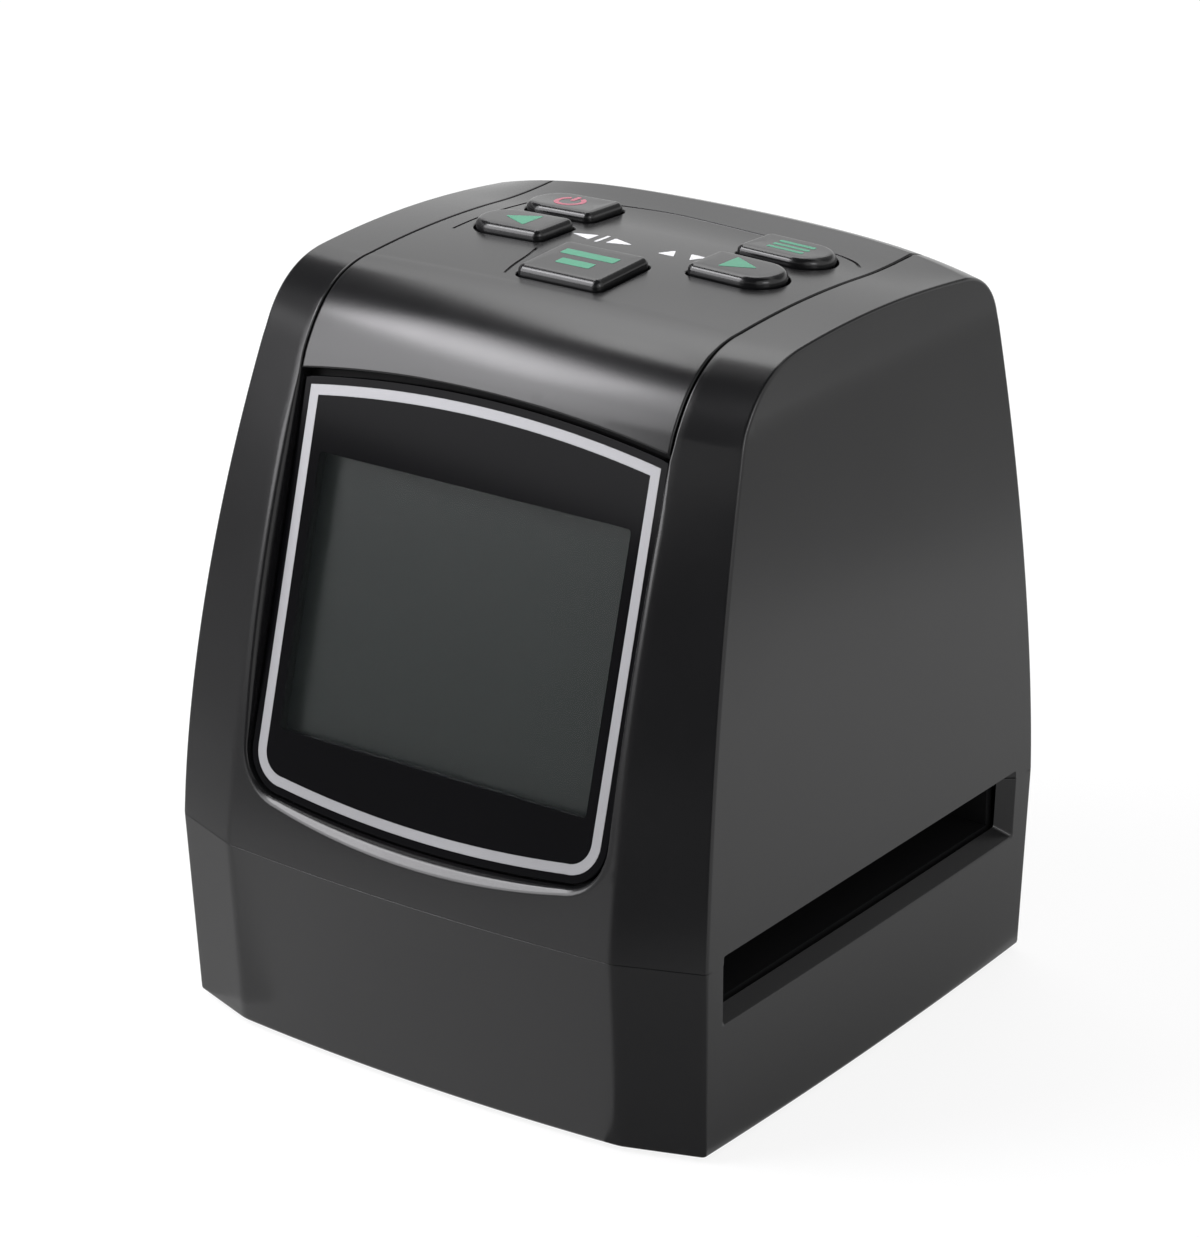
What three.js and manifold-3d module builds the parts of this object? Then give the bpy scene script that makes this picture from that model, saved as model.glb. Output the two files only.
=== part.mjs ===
// Desktop film negative scanner, in millimetres, +Z up.
// The origin is the centre of the footprint, at the height the rubber feet stand on.
// -Y is the screen side and +X is the right of someone facing the screen.
// A film holder slides along X through the slot between the base and the upper shell.
import * as THREE from 'three';
import { mergeVertices } from 'three/addons/utils/BufferGeometryUtils.js';
import Module from 'manifold-3d';

// Casing: overall sizes and wall
const bodyDepth = 88.3;          // front centre to rear centre, at the seam
const bodyHeight = 103.9;        // bottom edge of the base to the crest of the cover
const baseWidth = 85;
const seamFlare = 1.8;           // the seam, the widest place, is wider than the base by this
const topNarrowing = 9.6;        // the top is narrower than the seam by this
const seamHeight = 27.05;        // above the bottom edge of the base
const wall = 2.2;
const gap = 0.3;                 // clearance between mating pieces
const overrun = 12;              // how far cutting tools run past what they cut

// Casing: plan shape of the front, rear and top
const facetInsetBase = 11.8;     // the front's two soft edges, inwards of the sides at the seam
const facetInsetTop = 8.4;
const facetStepBase = 3.8;       // how far those edges stand before the side edges
const facetStepSeam = 4.5;
const facetStepTop = 2;
const frontBow = 1.45;           // bulge of the front between its soft edges
const rearBow = 2.5;             // bulge of the rear face over its side edges
const crown = 1.14;              // rise of the top from its side edges to the middle

// Casing: side profile
const frontDraft = 1.15;         // the base narrows by this towards the bottom
const rearDraft = 0.6;
const frontLean = 3.9;           // degrees, just above the seam
const frontRadius = 221;
const rearLean = 0.6;            // degrees
const rearRadius = 555;
const archRadius = 180;
const archSetback = 3;           // crest of the top arch behind the middle
const frontCorner = 7.4;         // tangent length of the rounded top front corner
const rearCorner = 3.6;
const sideTaperPower = 1.55;
const bowSegments = 6;
const leanSegments = 6;
const cornerSegments = 5;
const rearCornerSegments = 3;
const archSegments = 6;
const meetRounds = 8;            // rounds of working out where two profile curves meet

// Film slot through both sides
const slotFrontInset = 9.65;     // from the front centre to the slot
const slotRearInset = 7.55;
const sillFall = 7.75;           // inner edge of the sill below the seam
const sillDrop = 1;              // the sill falls by this towards the outside
const slotRise = 1.25;           // slot's top edge above the seam
const mouthFlare = 0.8;

// Feet and case screws
const footStandOff = 0.8;
const footRadius = 4.5;
const footRecess = 0.9;
const footInsetX = 9.5;          // foot centre from the side of the base
const footInsetFront = 13;
const footInsetRear = 11;
const bossRadius = 3.2;
const neckRadius = 2.4;          // bosses beside the slot, above the film track's underside
const frontBossInset = 6.65;     // boss centre from the front centre
const rearBossInset = 4.85;
const frontBossInsetX = 18.5;    // boss centres from the side of the base
const rearBossInsetX = 22.5;
const screwHeadRadius = 2.1;
const screwHeadHeight = 1.7;
const screwShankRadius = 1.1;
const headRimShare = 0.8;        // flat of a screw's head
const threadShare = 0.85;        // full thickness of a screw's shank, before its point
const headSeatDrop = 11;         // seat of the case screw's head below the seam
const upperBossHeight = 8.5;
const ribThickness = 4;

// Display window and what sits behind it
const displayTilt = 15.55;       // degrees from upright
const displayTopDrop = 15.3;     // top corners of the silver line below the crest
const lensFootRise = 7.2;        // lens's lower edge above the seam, at the middle
const lensFootSetback = 2.28;    // and behind the front centre
const lensSideInset = 0.9;       // lens inwards of the front's soft edges at the top
const lensAbove = 3.5;           // lens edge above the silver line's top corners, at the middle
const lensArcRadius = 172;
const lensCornerRadius = 6;
const lensThickness = 1.5;
const lensArcSteps = 14;
const lensCornerSteps = 6;
const pocketDraft = 0.6;         // each side of the pocket opens by this towards the outside
const pocketReach = 8;           // how far outwards the pocket's tool runs
const pocketRingShares = [0.12, 0.24, 1];
const lipSlope = 1.85;           // fall of the lip under the window per length outwards
const lipPower = 16;             // how late the lip dies out towards its corners
const panFloor = 1.5;
const panMargin = 2;
const windowSideBorder = 4.15;   // lens outside the clear window
const windowTopBorder = 8.4;     // from the silver line's top corners
const windowLowBorder = 10.5;
const windowMargin = 0.8;
const lcdSideBorder = 2.15;      // panel's rim behind the lens's border
const lcdEndBorder = 2.75;
const lcdThickness = 2.4;
const frameRim = 2;
const frameBack = 1.2;
const displayBoardThickness = 1.6;
const earReach = 6.2;            // screw ears of the frame, beyond its rim
const earHeight = 7;
const earInset = 4.75;           // ears' middles inwards of the window's upper and lower edges
const smallScrewRadius = 0.9;
const smallHeadRadius = 1.8;
const smallHeadHeight = 1.2;
const displayScrewLength = 6;

// Top cover
const coverStep = 0.2;           // cover beyond the lens on each side
const coverThickness = 2.2;
const coverEdgeGap = 1;          // between the lens and the cover's lower edge
const coverSkirtDepth = 14;      // how far the front skirt's tool reaches inwards
const coverRearDrop = 9.5;       // the rear skirt ends this far below the crest
const ledgeWidth = 3;
const ledgeThickness = 1.5;
const ledgeDrop = 14;            // ledges start this far below the crest

// Buttons, switches and their board
const buttonRaise = 1.4;
const buttonBevel = 0.6;
const buttonInnerX = 11.75;      // outer buttons' straight ends from the middle
const buttonOuterInset = 5.05;   // their round ends from the cover's side
const buttonDepth = 8.4;
const buttonCornerRadius = 1;
const scanWidth = 13.6;
const scanDepth = 11.8;
const scanSetback = 39.65;       // scan button's middle behind the front centre
const frontRowStep = 10.4;       // next row of buttons behind it
const rearRowStep = 11.5;
const buttonCornerSteps = 4;
const buttonHoleGap = 0.3;
const flangeWidth = 0.8;
const flangeThickness = 0.9;
const stemRadius = 1.6;
const plungerRadius = 1.7;
const plungerRise = 0.9;         // over the switch's body
const plungerDepth = 1;          // inside it at rest
const switchSize = 6;
const switchHeight = 3.4;
const switchFloor = 0.6;
const boardThickness = 1.6;
const buttonBoardDrop = 10.4;    // top of the button board below the crest
const buttonBoardInset = 4.5;    // board's sides inwards of the cover's
const buttonBoardFront = 12;     // board's edges beyond the button rows
const buttonBoardRear = 5;
const postRadius = 2.2;
const postInset = 3.4;           // post centres from the board's front and rear edges
const frontPostInset = 8;        // front posts inwards of the cover's sides
const rearPostSpan = 16;         // the rear posts stand between the outer buttons
const cornerScrewLength = 5;

// Film track, gate and backlight
const trackThickness = 1.5;
const trackRise = 0.5;           // track's top over the sill
const railWidth = 1.4;
const apertureLength = 38;
const apertureWidth = 27;
const gateThickness = 1.5;
const gateLift = 0.4;            // gate above the slot's top edge
const diffuserThickness = 1.6;
const diffuserMargin = 4;
const lightBoxWall = 1.2;
const ledSize = 3.2;
const ledHeight = 1.3;
const ledSpanX = 22;
const ledSpanY = 14;
const trackPostRadius = 2.5;
const trackPostInset = 8;

// Camera over the film
const hoodWall = 1.5;
const hoodTopWidth = 22;
const hoodHeight = 28;
const hoodFlange = 4;
const barrelRadius = 6;
const barrelBore = 4.6;
const barrelLength = 15;
const barrelHang = 6;            // barrel below the hood's top
const barrelClearance = 0.4;
const objectiveThickness = 2.6;
const objectiveEdge = 1;
const objectiveInset = 2;        // lens behind the barrel's lower end
const holderSize = 18;
const holderHeight = 12;
const sensorSize = 9;
const sensorThickness = 1.2;
const sensorRoom = 2.4;          // depth of the holder's chamber over the barrel
const sensorChamber = 12;
const sensorBoardSize = 26;
const sensorBoardThickness = 1.2;

// Main board on the left side, with the sockets that open at the rear
const mainBoardInset = 13.4;     // component side of the board from the widest place
const mainBoardThickness = 1.6;
const mainBoardFrontRoom = 29.3; // from the front and rear centres to the board's edges
const mainBoardRearRoom = 9;
const mainBoardTopDrop = 20.7;   // board's upper edge below the crest
const mainPostRadius = 2;
const mainPostInset = 5;
const processorSize = 14;
const processorThickness = 1.4;
const memoryLength = 12;
const memoryWidth = 8;
const chipFrontRoom = 10;        // chips behind the board's front edge
const chipLevelShares = [0.35, 0.7];
const socketWall = 0.5;
const socketSink = 0.8;          // sockets' mouths below the rear surface
const socketWayReach = 6.6;      // how far their ways run inwards of the mouths
const usbHeight = 7.6;
const usbThickness = 4;
const usbDepth = 9.2;
const usbDrop = 14;              // socket's middle below the board's upper edge
const cardThickness = 3.6;
const cardFrontRoom = 31;        // from the board's front edge to the card slot
const cardFoot = 3.8;            // card slot above the board's lower edge
const socketSpacing = 4;         // between the card slot and the USB socket
const jackSize = 6.6;
const jackDepth = 12;
const jackBore = 1.8;
const jackDrop = 5;              // jack's middle below the board's upper edge

const samePoint = 1e-6;          // points of an outline closer than this are one point
const roundSides = 16;
const screwSides = 10;

// Sizes and places worked out from the ones above
const seamWidth = baseWidth + seamFlare;
const topWidth = seamWidth - topNarrowing;
const facetSpanBase = seamWidth - 2 * facetInsetBase;
const facetSpanTop = topWidth - 2 * facetInsetTop;
const lensWidth = facetSpanTop - 2 * lensSideInset;
const coverWidth = lensWidth + 2 * coverStep;
const base = footStandOff;
const seamZ = base + seamHeight;
const sillZ = seamZ - sillFall;
const frontY = -bodyDepth / 2;
const rearY = bodyDepth / 2;
const sideFrontY = frontY + frontBow + facetStepSeam;
const sideRearY = rearY - rearBow;
const sideCrestZ = base + bodyHeight - crown;
const crestZ = base + bodyHeight;
const slotFrontY = frontY + slotFrontInset;
const slotRearY = rearY - slotRearInset;
const slotTopZ = seamZ + slotRise;
const innerHalf = seamWidth / 2 - wall;
const frontBossY = frontY + frontBossInset;
const rearBossY = rearY - rearBossInset;
const trackFrontY = frontBossY + neckRadius + gap;
const trackRearY = rearBossY - neckRadius - gap;
const filmY = (trackFrontY + trackRearY) / 2;
const trackTopZ = sillZ + trackRise;
const trackLowZ = trackTopZ - trackThickness;
const gateLowZ = slotTopZ + gateLift;
const gateTopZ = gateLowZ + gateThickness;
const plateHalf = baseWidth / 2 - wall - gap;
const floorZ = base + wall;
const hoodLowZ = gateTopZ + gap;
const hoodTopZ = hoodLowZ + hoodHeight;
const buttonBoardTop = crestZ - buttonBoardDrop;
const mainBoardX = mainBoardInset - seamWidth / 2;
const mainBoardLow = hoodLowZ + hoodWall + gap;
const mainBoardHeight = crestZ - mainBoardTopDrop - mainBoardLow;

const wasm = await Module();
wasm.setup();

const lerp = (a, b, t) => a + (b - a) * t;
const radians = THREE.MathUtils.degToRad;

// A closed mesh as a solid that can be joined and cut
function solid(geometry) {
  const bare = geometry.clone();
  bare.deleteAttribute('normal');
  bare.deleteAttribute('uv');
  const merged = mergeVertices(bare);
  return new wasm.Manifold(new wasm.Mesh({
    numProp: 3,
    vertProperties: new Float32Array(merged.attributes.position.array),
    triVerts: new Uint32Array(merged.index.array),
  }));
}

function geometryOf(manifold) {
  const mesh = manifold.getMesh();
  const geometry = new THREE.BufferGeometry();
  geometry.setAttribute('position', new THREE.BufferAttribute(mesh.vertProperties, 3));
  geometry.setIndex(new THREE.BufferAttribute(mesh.triVerts, 1));
  geometry.computeVertexNormals();
  return geometry;
}

const join = (...parts) => parts.reduce((sum, part) => sum.add(part));
const cut = (body, ...tools) => tools.reduce((rest, tool) => rest.subtract(tool), body);

// Simple shapes
function box(x0, x1, y0, y1, z0, z1) {
  const geometry = new THREE.BoxGeometry(x1 - x0, y1 - y0, z1 - z0);
  geometry.translate((x0 + x1) / 2, (y0 + y1) / 2, (z0 + z1) / 2);
  return solid(geometry);
}

function post(x, y, z0, z1, radius, sides = roundSides) {
  const geometry = new THREE.CylinderGeometry(radius, radius, z1 - z0, sides);
  geometry.rotateX(Math.PI / 2);
  geometry.translate(x, y, (z0 + z1) / 2);
  return solid(geometry);
}

function postX(x0, x1, y, z, radius, sides = roundSides) {
  const geometry = new THREE.CylinderGeometry(radius, radius, x1 - x0, sides);
  geometry.rotateZ(Math.PI / 2);
  geometry.translate((x0 + x1) / 2, y, z);
  return solid(geometry);
}

function postY(x, z, y0, y1, radius, sides = roundSides) {
  const geometry = new THREE.CylinderGeometry(radius, radius, y1 - y0, sides);
  geometry.translate(x, (y0 + y1) / 2, z);
  return solid(geometry);
}

// A prism along +Z over an outline of [x, y] points
function prism(outline, z0, z1) {
  const shape = new THREE.Shape(outline.map(([x, y]) => new THREE.Vector2(x, y)));
  const geometry = new THREE.ExtrudeGeometry(shape, { depth: z1 - z0, bevelEnabled: false });
  geometry.translate(0, 0, z0);
  return solid(geometry);
}

// Rings of equally many [x, y, z] points, joined one to the next and closed at both ends
function stack(rings) {
  const count = rings[0].length;
  const positions = rings.flat(2);
  const index = [];
  for (let r = 0; r + 1 < rings.length; r += 1) {
    for (let i = 0; i < count; i += 1) {
      const j = (i + 1) % count;
      const [a, b, c, d] = [r * count + i, r * count + j, (r + 1) * count + j, (r + 1) * count + i];
      index.push(a, b, c, a, c, d);
    }
  }
  const flat = (ring) => ring.map(([x, y]) => new THREE.Vector2(x, y));
  const top = (rings.length - 1) * count;
  for (const [a, b, c] of THREE.ShapeUtils.triangulateShape(flat(rings[0]), [])) index.push(a, c, b);
  for (const [a, b, c] of THREE.ShapeUtils.triangulateShape(flat(rings.at(-1)), [])) {
    index.push(top + a, top + b, top + c);
  }
  const geometry = new THREE.BufferGeometry();
  geometry.setAttribute('position', new THREE.Float32BufferAttribute(positions, 3));
  geometry.setIndex(index);
  return geometry;
}

// Outlines
function arcPoints(x, y, radius, from, to, steps) {
  const points = [];
  for (let i = 0; i <= steps; i += 1) {
    const angle = lerp(from, to, i / steps);
    points.push([x + radius * Math.cos(angle), y + radius * Math.sin(angle)]);
  }
  return points;
}

// A rectangle round (x, y) whose right and left corners have their own radii
function roundedOutline(x, y, width, depth, rightRadius, leftRadius, steps) {
  const [hx, hy] = [width / 2, depth / 2];
  const [r, l] = [Math.min(rightRadius, hy, hx), Math.min(leftRadius, hy, hx)];
  const quarter = Math.PI / 2;
  return [
    ...arcPoints(x + hx - r, y - hy + r, r, -quarter, 0, steps),
    ...arcPoints(x + hx - r, y + hy - r, r, 0, quarter, steps),
    ...arcPoints(x - hx + l, y + hy - l, l, quarter, 2 * quarter, steps),
    ...arcPoints(x - hx + l, y - hy + l, l, 2 * quarter, 3 * quarter, steps),
  ].filter(([px, py], i, all) => {
    const [qx, qy] = all[(i + 1) % all.length];
    return Math.hypot(px - qx, py - qy) > samePoint;
  });
}

// Casing surface: half widths and side profile, by height above the base's bottom edge
const frontSlope = Math.tan(radians(frontLean));
const rearSlope = Math.tan(radians(rearLean));
const frontEdge = (h) => sideFrontY + frontSlope * (h - seamHeight)
  + (h - seamHeight) ** 2 / (2 * frontRadius);
const rearEdge = (h) => sideRearY - rearSlope * (h - seamHeight)
  - (h - seamHeight) ** 2 / (2 * rearRadius);
const archEdge = (y) => sideCrestZ - (y - archSetback) ** 2 / (2 * archRadius);

// Where the lean of the front or rear meets the arch of the top
function cornerOf(edge) {
  let h = bodyHeight;
  for (let i = 0; i < meetRounds; i += 1) h = archEdge(edge(h)) - base;
  return { y: edge(h), z: base + h, h };
}

const frontMeet = cornerOf(frontEdge);
const rearMeet = cornerOf(rearEdge);
const leanTop = frontMeet.h - frontCorner;

function sideHalf(h) {
  if (h < seamHeight) return lerp(baseWidth, seamWidth, h / seamHeight) / 2;
  const t = Math.min((h - seamHeight) / (leanTop - seamHeight), 1);
  return lerp(seamWidth, topWidth, t ** sideTaperPower) / 2;
}

function facetHalf(h) {
  const t = THREE.MathUtils.clamp((h - seamHeight) / (leanTop - seamHeight), 0, 1);
  return lerp(facetSpanBase, facetSpanTop, t) / 2;
}

// How far the surface stands before the side edge, at the soft edge and in the middle
function frontRise(h) {
  const t = (h - seamHeight) / (leanTop - seamHeight);
  const step = h < seamHeight
    ? lerp(facetStepBase, facetStepSeam, h / seamHeight)
    : lerp(facetStepSeam, facetStepTop, t);
  return { step, bow: frontBow };
}

function smoothRise(h, rise) {
  const share = (facetHalf(h) / sideHalf(h)) ** 2;
  return { step: rise * (1 - share), bow: rise * share };
}

function roundedCorner(before, corner, after, steps, from, to) {
  const rows = [];
  for (let i = 1; i < steps; i += 1) {
    const t = i / steps;
    const a = [lerp(before[0], corner[0], t), lerp(before[1], corner[1], t)];
    const b = [lerp(corner[0], after[0], t), lerp(corner[1], after[1], t)];
    rows.push({
      y: lerp(a[0], b[0], t),
      z: lerp(a[1], b[1], t),
      step: lerp(from.step, to.step, t),
      bow: lerp(from.bow, to.bow, t),
    });
  }
  return rows;
}

// The side profile from the front's bottom edge over the top to the rear's bottom edge
function profileRows() {
  const levels = [];
  for (let i = 0; i <= leanSegments; i += 1) levels.push(lerp(seamHeight, leanTop, i / leanSegments));
  const front = [
    { y: frontEdge(seamHeight) + frontDraft, z: base, ...frontRise(0) },
    ...levels.map((h) => ({ y: frontEdge(h), z: base + h, ...frontRise(h) })),
  ];
  const rear = [
    { y: rearEdge(seamHeight) - rearDraft, z: base, ...smoothRise(0, rearBow) },
    ...levels.map((h) => ({ y: rearEdge(h), z: base + h, ...smoothRise(h, rearBow) })),
  ];
  const archFront = frontMeet.y + frontCorner;
  const archRear = rearMeet.y - rearCorner;
  const rise = smoothRise(leanTop, crown);
  const top = [];
  for (let i = 0; i <= archSegments; i += 1) {
    const y = lerp(archFront, archRear, i / archSegments);
    top.push({ y, z: archEdge(y), ...rise });
  }
  const rearStart = { y: rearEdge(rearMeet.h - rearCorner), z: base + rearMeet.h - rearCorner };
  const frontTurn = roundedCorner(
    [front.at(-1).y, front.at(-1).z], [frontMeet.y, frontMeet.z], [top[0].y, top[0].z],
    cornerSegments, frontRise(leanTop), rise,
  );
  const rearTurn = roundedCorner(
    [top.at(-1).y, top.at(-1).z], [rearMeet.y, rearMeet.z], [rearStart.y, rearStart.z],
    rearCornerSegments, rise, smoothRise(leanTop, rearBow),
  );
  const rows = [
    ...front, ...frontTurn, ...top, ...rearTurn,
    { ...rearStart, ...smoothRise(leanTop, rearBow) },
    ...rear.reverse(),
  ];
  return rows.map((row, i) => {
    const a = rows[Math.max(i - 1, 0)];
    const b = rows[Math.min(i + 1, rows.length - 1)];
    const upright = i === 0 || i === rows.length - 1;
    const length = Math.hypot(b.y - a.y, b.z - a.z);
    const normal = upright ? [Math.sign(row.y), 0] : [(a.z - b.z) / length, (b.y - a.y) / length];
    return { ...row, normal, h: row.z - base };
  });
}

const profile = profileRows();
const levelRows = leanSegments + 2;

// The profile without the rows that would fold back in a tight corner when moved inwards by inset
function unfolded(inset) {
  const kept = [profile[0]];
  for (const row of profile.slice(1)) {
    const last = kept.at(-1);
    const [dy, dz] = [row.y - last.y, row.z - last.z];
    const movedY = dy - inset * (row.normal[0] - last.normal[0]);
    const movedZ = dz - inset * (row.normal[1] - last.normal[1]);
    if (dy * movedY + dz * movedZ > 0) kept.push(row);
  }
  return kept;
}

// The whole outer form of the casing, moved inwards by inset
function envelope(inset) {
  const columns = bowSegments + 3;
  const rows = unfolded(inset).map((row) => {
    const points = [];
    const place = (x, rise) => points.push([
      x, row.y + row.normal[0] * (rise - inset), row.z + row.normal[1] * (rise - inset)]);
    const [half, facet] = [sideHalf(row.h) - inset, facetHalf(row.h)];
    place(-half, 0);
    for (let i = 0; i <= bowSegments; i += 1) {
      const s = lerp(-1, 1, i / bowSegments);
      place(facet * s, row.step + row.bow * (1 - s * s));
    }
    place(half, 0);
    return points;
  });
  const index = [];
  const at = (r, c) => r * columns + c;
  const quad = (a, b, c, d) => index.push(a, b, c, a, c, d);
  const last = rows.length - 1;
  for (let r = 0; r < last; r += 1) {
    for (let c = 0; c + 1 < columns; c += 1) quad(at(r, c), at(r, c + 1), at(r + 1, c + 1), at(r + 1, c));
  }
  for (let c = 0; c + 1 < columns; c += 1) quad(at(0, c + 1), at(0, c), at(last, c), at(last, c + 1));
  for (const side of [0, columns - 1]) {
    const flip = side === 0;
    for (let r = 0; r + 1 < levelRows; r += 1) {
      const ring = [at(r, side), at(r + 1, side), at(last - r - 1, side), at(last - r, side)];
      quad(...(flip ? ring : ring.reverse()));
    }
    const cap = [];
    for (let r = levelRows - 1; r <= last - levelRows + 1; r += 1) cap.push(r);
    const outline = cap.map((r) => new THREE.Vector2(rows[r][side][1], rows[r][side][2]));
    for (const [a, b, c] of THREE.ShapeUtils.triangulateShape(outline, [])) {
      const ring = [at(cap[a], side), at(cap[b], side), at(cap[c], side)];
      index.push(...(flip ? ring.reverse() : ring));
    }
  }
  const geometry = new THREE.BufferGeometry();
  geometry.setAttribute('position', new THREE.Float32BufferAttribute(rows.flat(2), 3));
  geometry.setIndex(index);
  const whole = solid(geometry);
  if (whole.volume() > 0) return whole;
  geometry.setIndex(index.toReversed());
  return solid(geometry);
}

// Height of the top surface over the ground at a place under the cover
const topSurface = (x, y) => archEdge(y) + crown * (1 - (x / sideHalf(leanTop)) ** 2);

// The display's own frame: X across, Y up the tilted face, Z straight out of it
const displayTurn = Math.PI / 2 - radians(displayTilt);
const displayTopZ = crestZ - displayTopDrop;
const lensBelow = (displayTopZ - seamZ - lensFootRise) / Math.cos(radians(displayTilt));
const displaySetback = lensFootSetback + lensBelow * Math.sin(radians(displayTilt));
const displayOrigin = [0, frontY + displaySetback, displayTopZ];
const windowWidth = lensWidth - 2 * windowSideBorder;
const windowHeight = lensBelow - windowTopBorder - windowLowBorder;
const windowDrop = windowTopBorder + windowHeight / 2;
const lcdWidth = windowWidth + 2 * lcdSideBorder;
const lcdHeight = windowHeight + 2 * lcdEndBorder;
const earDrop = windowHeight / 2 - earInset;

function displayGroup() {
  const group = new THREE.Group();
  group.position.set(...displayOrigin);
  group.rotation.x = displayTurn;
  group.updateMatrixWorld(true);
  return group;
}

const displayPlace = displayGroup().matrixWorld;
const onDisplay = (manifold) => manifold.transform(displayPlace.toArray());

const lensTop = (x) => lensAbove - x * x / (2 * lensArcRadius);
const lensBottom = (x) => x * x / (2 * lensArcRadius) - lensBelow;

// Outline of the lens grown by margin: sharp upper corners, rounded lower ones
function lensOutline(margin) {
  const half = lensWidth / 2 + margin;
  const radius = lensCornerRadius + margin;
  const low = lensBottom(half - radius) - margin + radius;
  const points = [];
  for (let i = 0; i <= lensArcSteps; i += 1) {
    const x = lerp(half, -half, i / lensArcSteps);
    points.push([x, lensTop(x) + margin]);
  }
  points.push(...arcPoints(-half + radius, low, radius, Math.PI, 3 * Math.PI / 2, lensCornerSteps));
  for (let i = 1; i < lensArcSteps; i += 1) {
    const x = lerp(radius - half, half - radius, i / lensArcSteps);
    points.push([x, lensBottom(x) - margin]);
  }
  points.push(...arcPoints(half - radius, low, radius, -Math.PI / 2, 0, lensCornerSteps));
  return points;
}

// The pocket round the lens: straight at the lens, opening outwards, with a falling lower lip
function pocketTool() {
  const floor = -lensThickness - gap;
  const inner = lensOutline(gap);
  const half = lensWidth / 2;
  const widen = 1 + pocketDraft / half;
  const level = (z) => inner.map(([x, y]) => [x, y, z]);
  const flared = (share) => inner.map(([x, y]) => {
    const z = pocketReach * share;
    const fall = y < -lensBelow / 2 ? lipSlope * z * Math.max(1 - (x / half) ** lipPower, 0) : 0;
    return [lerp(x, x * widen, share), y - fall, z];
  });
  return onDisplay(solid(stack([level(floor), level(0), ...pocketRingShares.map(flared)])));
}

// The part of the casing's skin that belongs to the top cover, grown by margin
function coverRegion(margin) {
  const half = coverWidth / 2 + margin;
  const outline = [];
  for (let i = 0; i <= lensArcSteps; i += 1) {
    const x = lerp(-half, half, i / lensArcSteps);
    outline.push([x, lensTop(x) + coverEdgeGap - margin]);
  }
  const reach = bodyHeight;
  outline.push([half, reach], [-half, reach]);
  const skirt = onDisplay(prism(outline, -coverSkirtDepth, overrun));
  const behind = box(
    -half, half, frontMeet.y + frontCorner / 2, rearY + overrun,
    crestZ - coverRearDrop - margin, crestZ + overrun,
  );
  return join(skirt, behind);
}

const mirrored = [-1, 1];
const bossPlaces = [
  ...mirrored.map((side) => [side * (baseWidth / 2 - frontBossInsetX), frontBossY, 'front', side]),
  ...mirrored.map((side) => [side * (baseWidth / 2 - rearBossInsetX), rearBossY, 'rear', side]),
];
const sideName = (side) => (side < 0 ? 'left' : 'right');
const headSeatZ = seamZ - headSeatDrop;
const footX = baseWidth / 2 - footInsetX;
const footPlaces = mirrored.flatMap((side) => [
  [side * footX, frontY + footInsetFront, 'front', side],
  [side * footX, rearY - footInsetRear, 'rear', side],
]);

// Base shell: a tub with the lower half of the slot in each side
function sillTool(side) {
  const [inner, outer] = [innerHalf - gap, seamWidth / 2 + overrun];
  const fall = sillDrop * (outer - innerHalf) / wall;
  const section = [
    [inner - wall, sillZ], [innerHalf, sillZ], [outer, sillZ - fall],
    [outer, seamZ + overrun], [inner - wall, seamZ + overrun],
  ];
  const along = prism(section.map(([x, z]) => [x * side, z]), slotFrontY, slotRearY + mouthFlare);
  const upright = new THREE.Matrix4().makeRotationX(Math.PI / 2);
  const swap = new THREE.Matrix4().makeScale(1, -1, 1);
  return along.transform(upright.premultiply(swap).toArray());
}

function baseShell() {
  const outer = cut(envelope(0), box(
    -seamWidth, seamWidth, -bodyDepth, bodyDepth, seamZ - gap / 2, crestZ + overrun));
  const hollow = envelope(wall).intersect(box(
    -seamWidth, seamWidth, -bodyDepth, bodyDepth, floorZ, crestZ));
  const bosses = bossPlaces.map(([x, y]) => join(
    post(x, y, floorZ - gap, trackLowZ - gap, bossRadius),
    post(x, y, headSeatZ, seamZ - gap / 2, neckRadius),
  ));
  const [postX0, postY0] = [plateHalf - trackPostInset, trackFrontY + trackPostInset];
  const trackPosts = mirrored.flatMap((side) => [postY0, trackRearY - trackPostInset].map(
    (y) => post(side * postX0, y, floorZ - gap, trackLowZ - gap, trackPostRadius)));
  const body = join(cut(outer, hollow), ...bosses, ...trackPosts);
  const screwWays = bossPlaces.flatMap(([x, y]) => [
    post(x, y, -overrun, headSeatZ, screwHeadRadius + gap),
    post(x, y, headSeatZ - gap, seamZ + overrun, screwShankRadius + gap, screwSides),
  ]);
  const footWays = footPlaces.map(([x, y]) => post(
    x, y, -overrun, base + footRecess, footRadius + gap));
  return cut(body, ...mirrored.map(sillTool), ...screwWays, ...footWays);
}

// Upper shell: side walls, front pan for the display, ledges for the cover, bosses and sockets' ways
function slotNotch(side) {
  const inner = innerHalf - wall;
  const xs = [side * inner, side * (seamWidth / 2 + overrun)].sort((a, b) => a - b);
  return box(...xs, slotFrontY, slotRearY + mouthFlare, seamZ - overrun, slotTopZ);
}

const boardRearY = rearY - mainBoardRearRoom;
const boardFrontY = frontY + mainBoardFrontRoom;
const boardBackX = mainBoardX - mainBoardThickness;
const cardDepth = rearY - boardFrontY - cardFrontRoom;
const socketX = mainBoardX + gap;

// The rear surface at a place, from its side profile and bulge
function rearSurface(x, z) {
  const h = z - base;
  const bulge = rearBow * (1 - (x / sideHalf(h)) ** 2);
  return rearEdge(h) + bulge;
}

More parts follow.
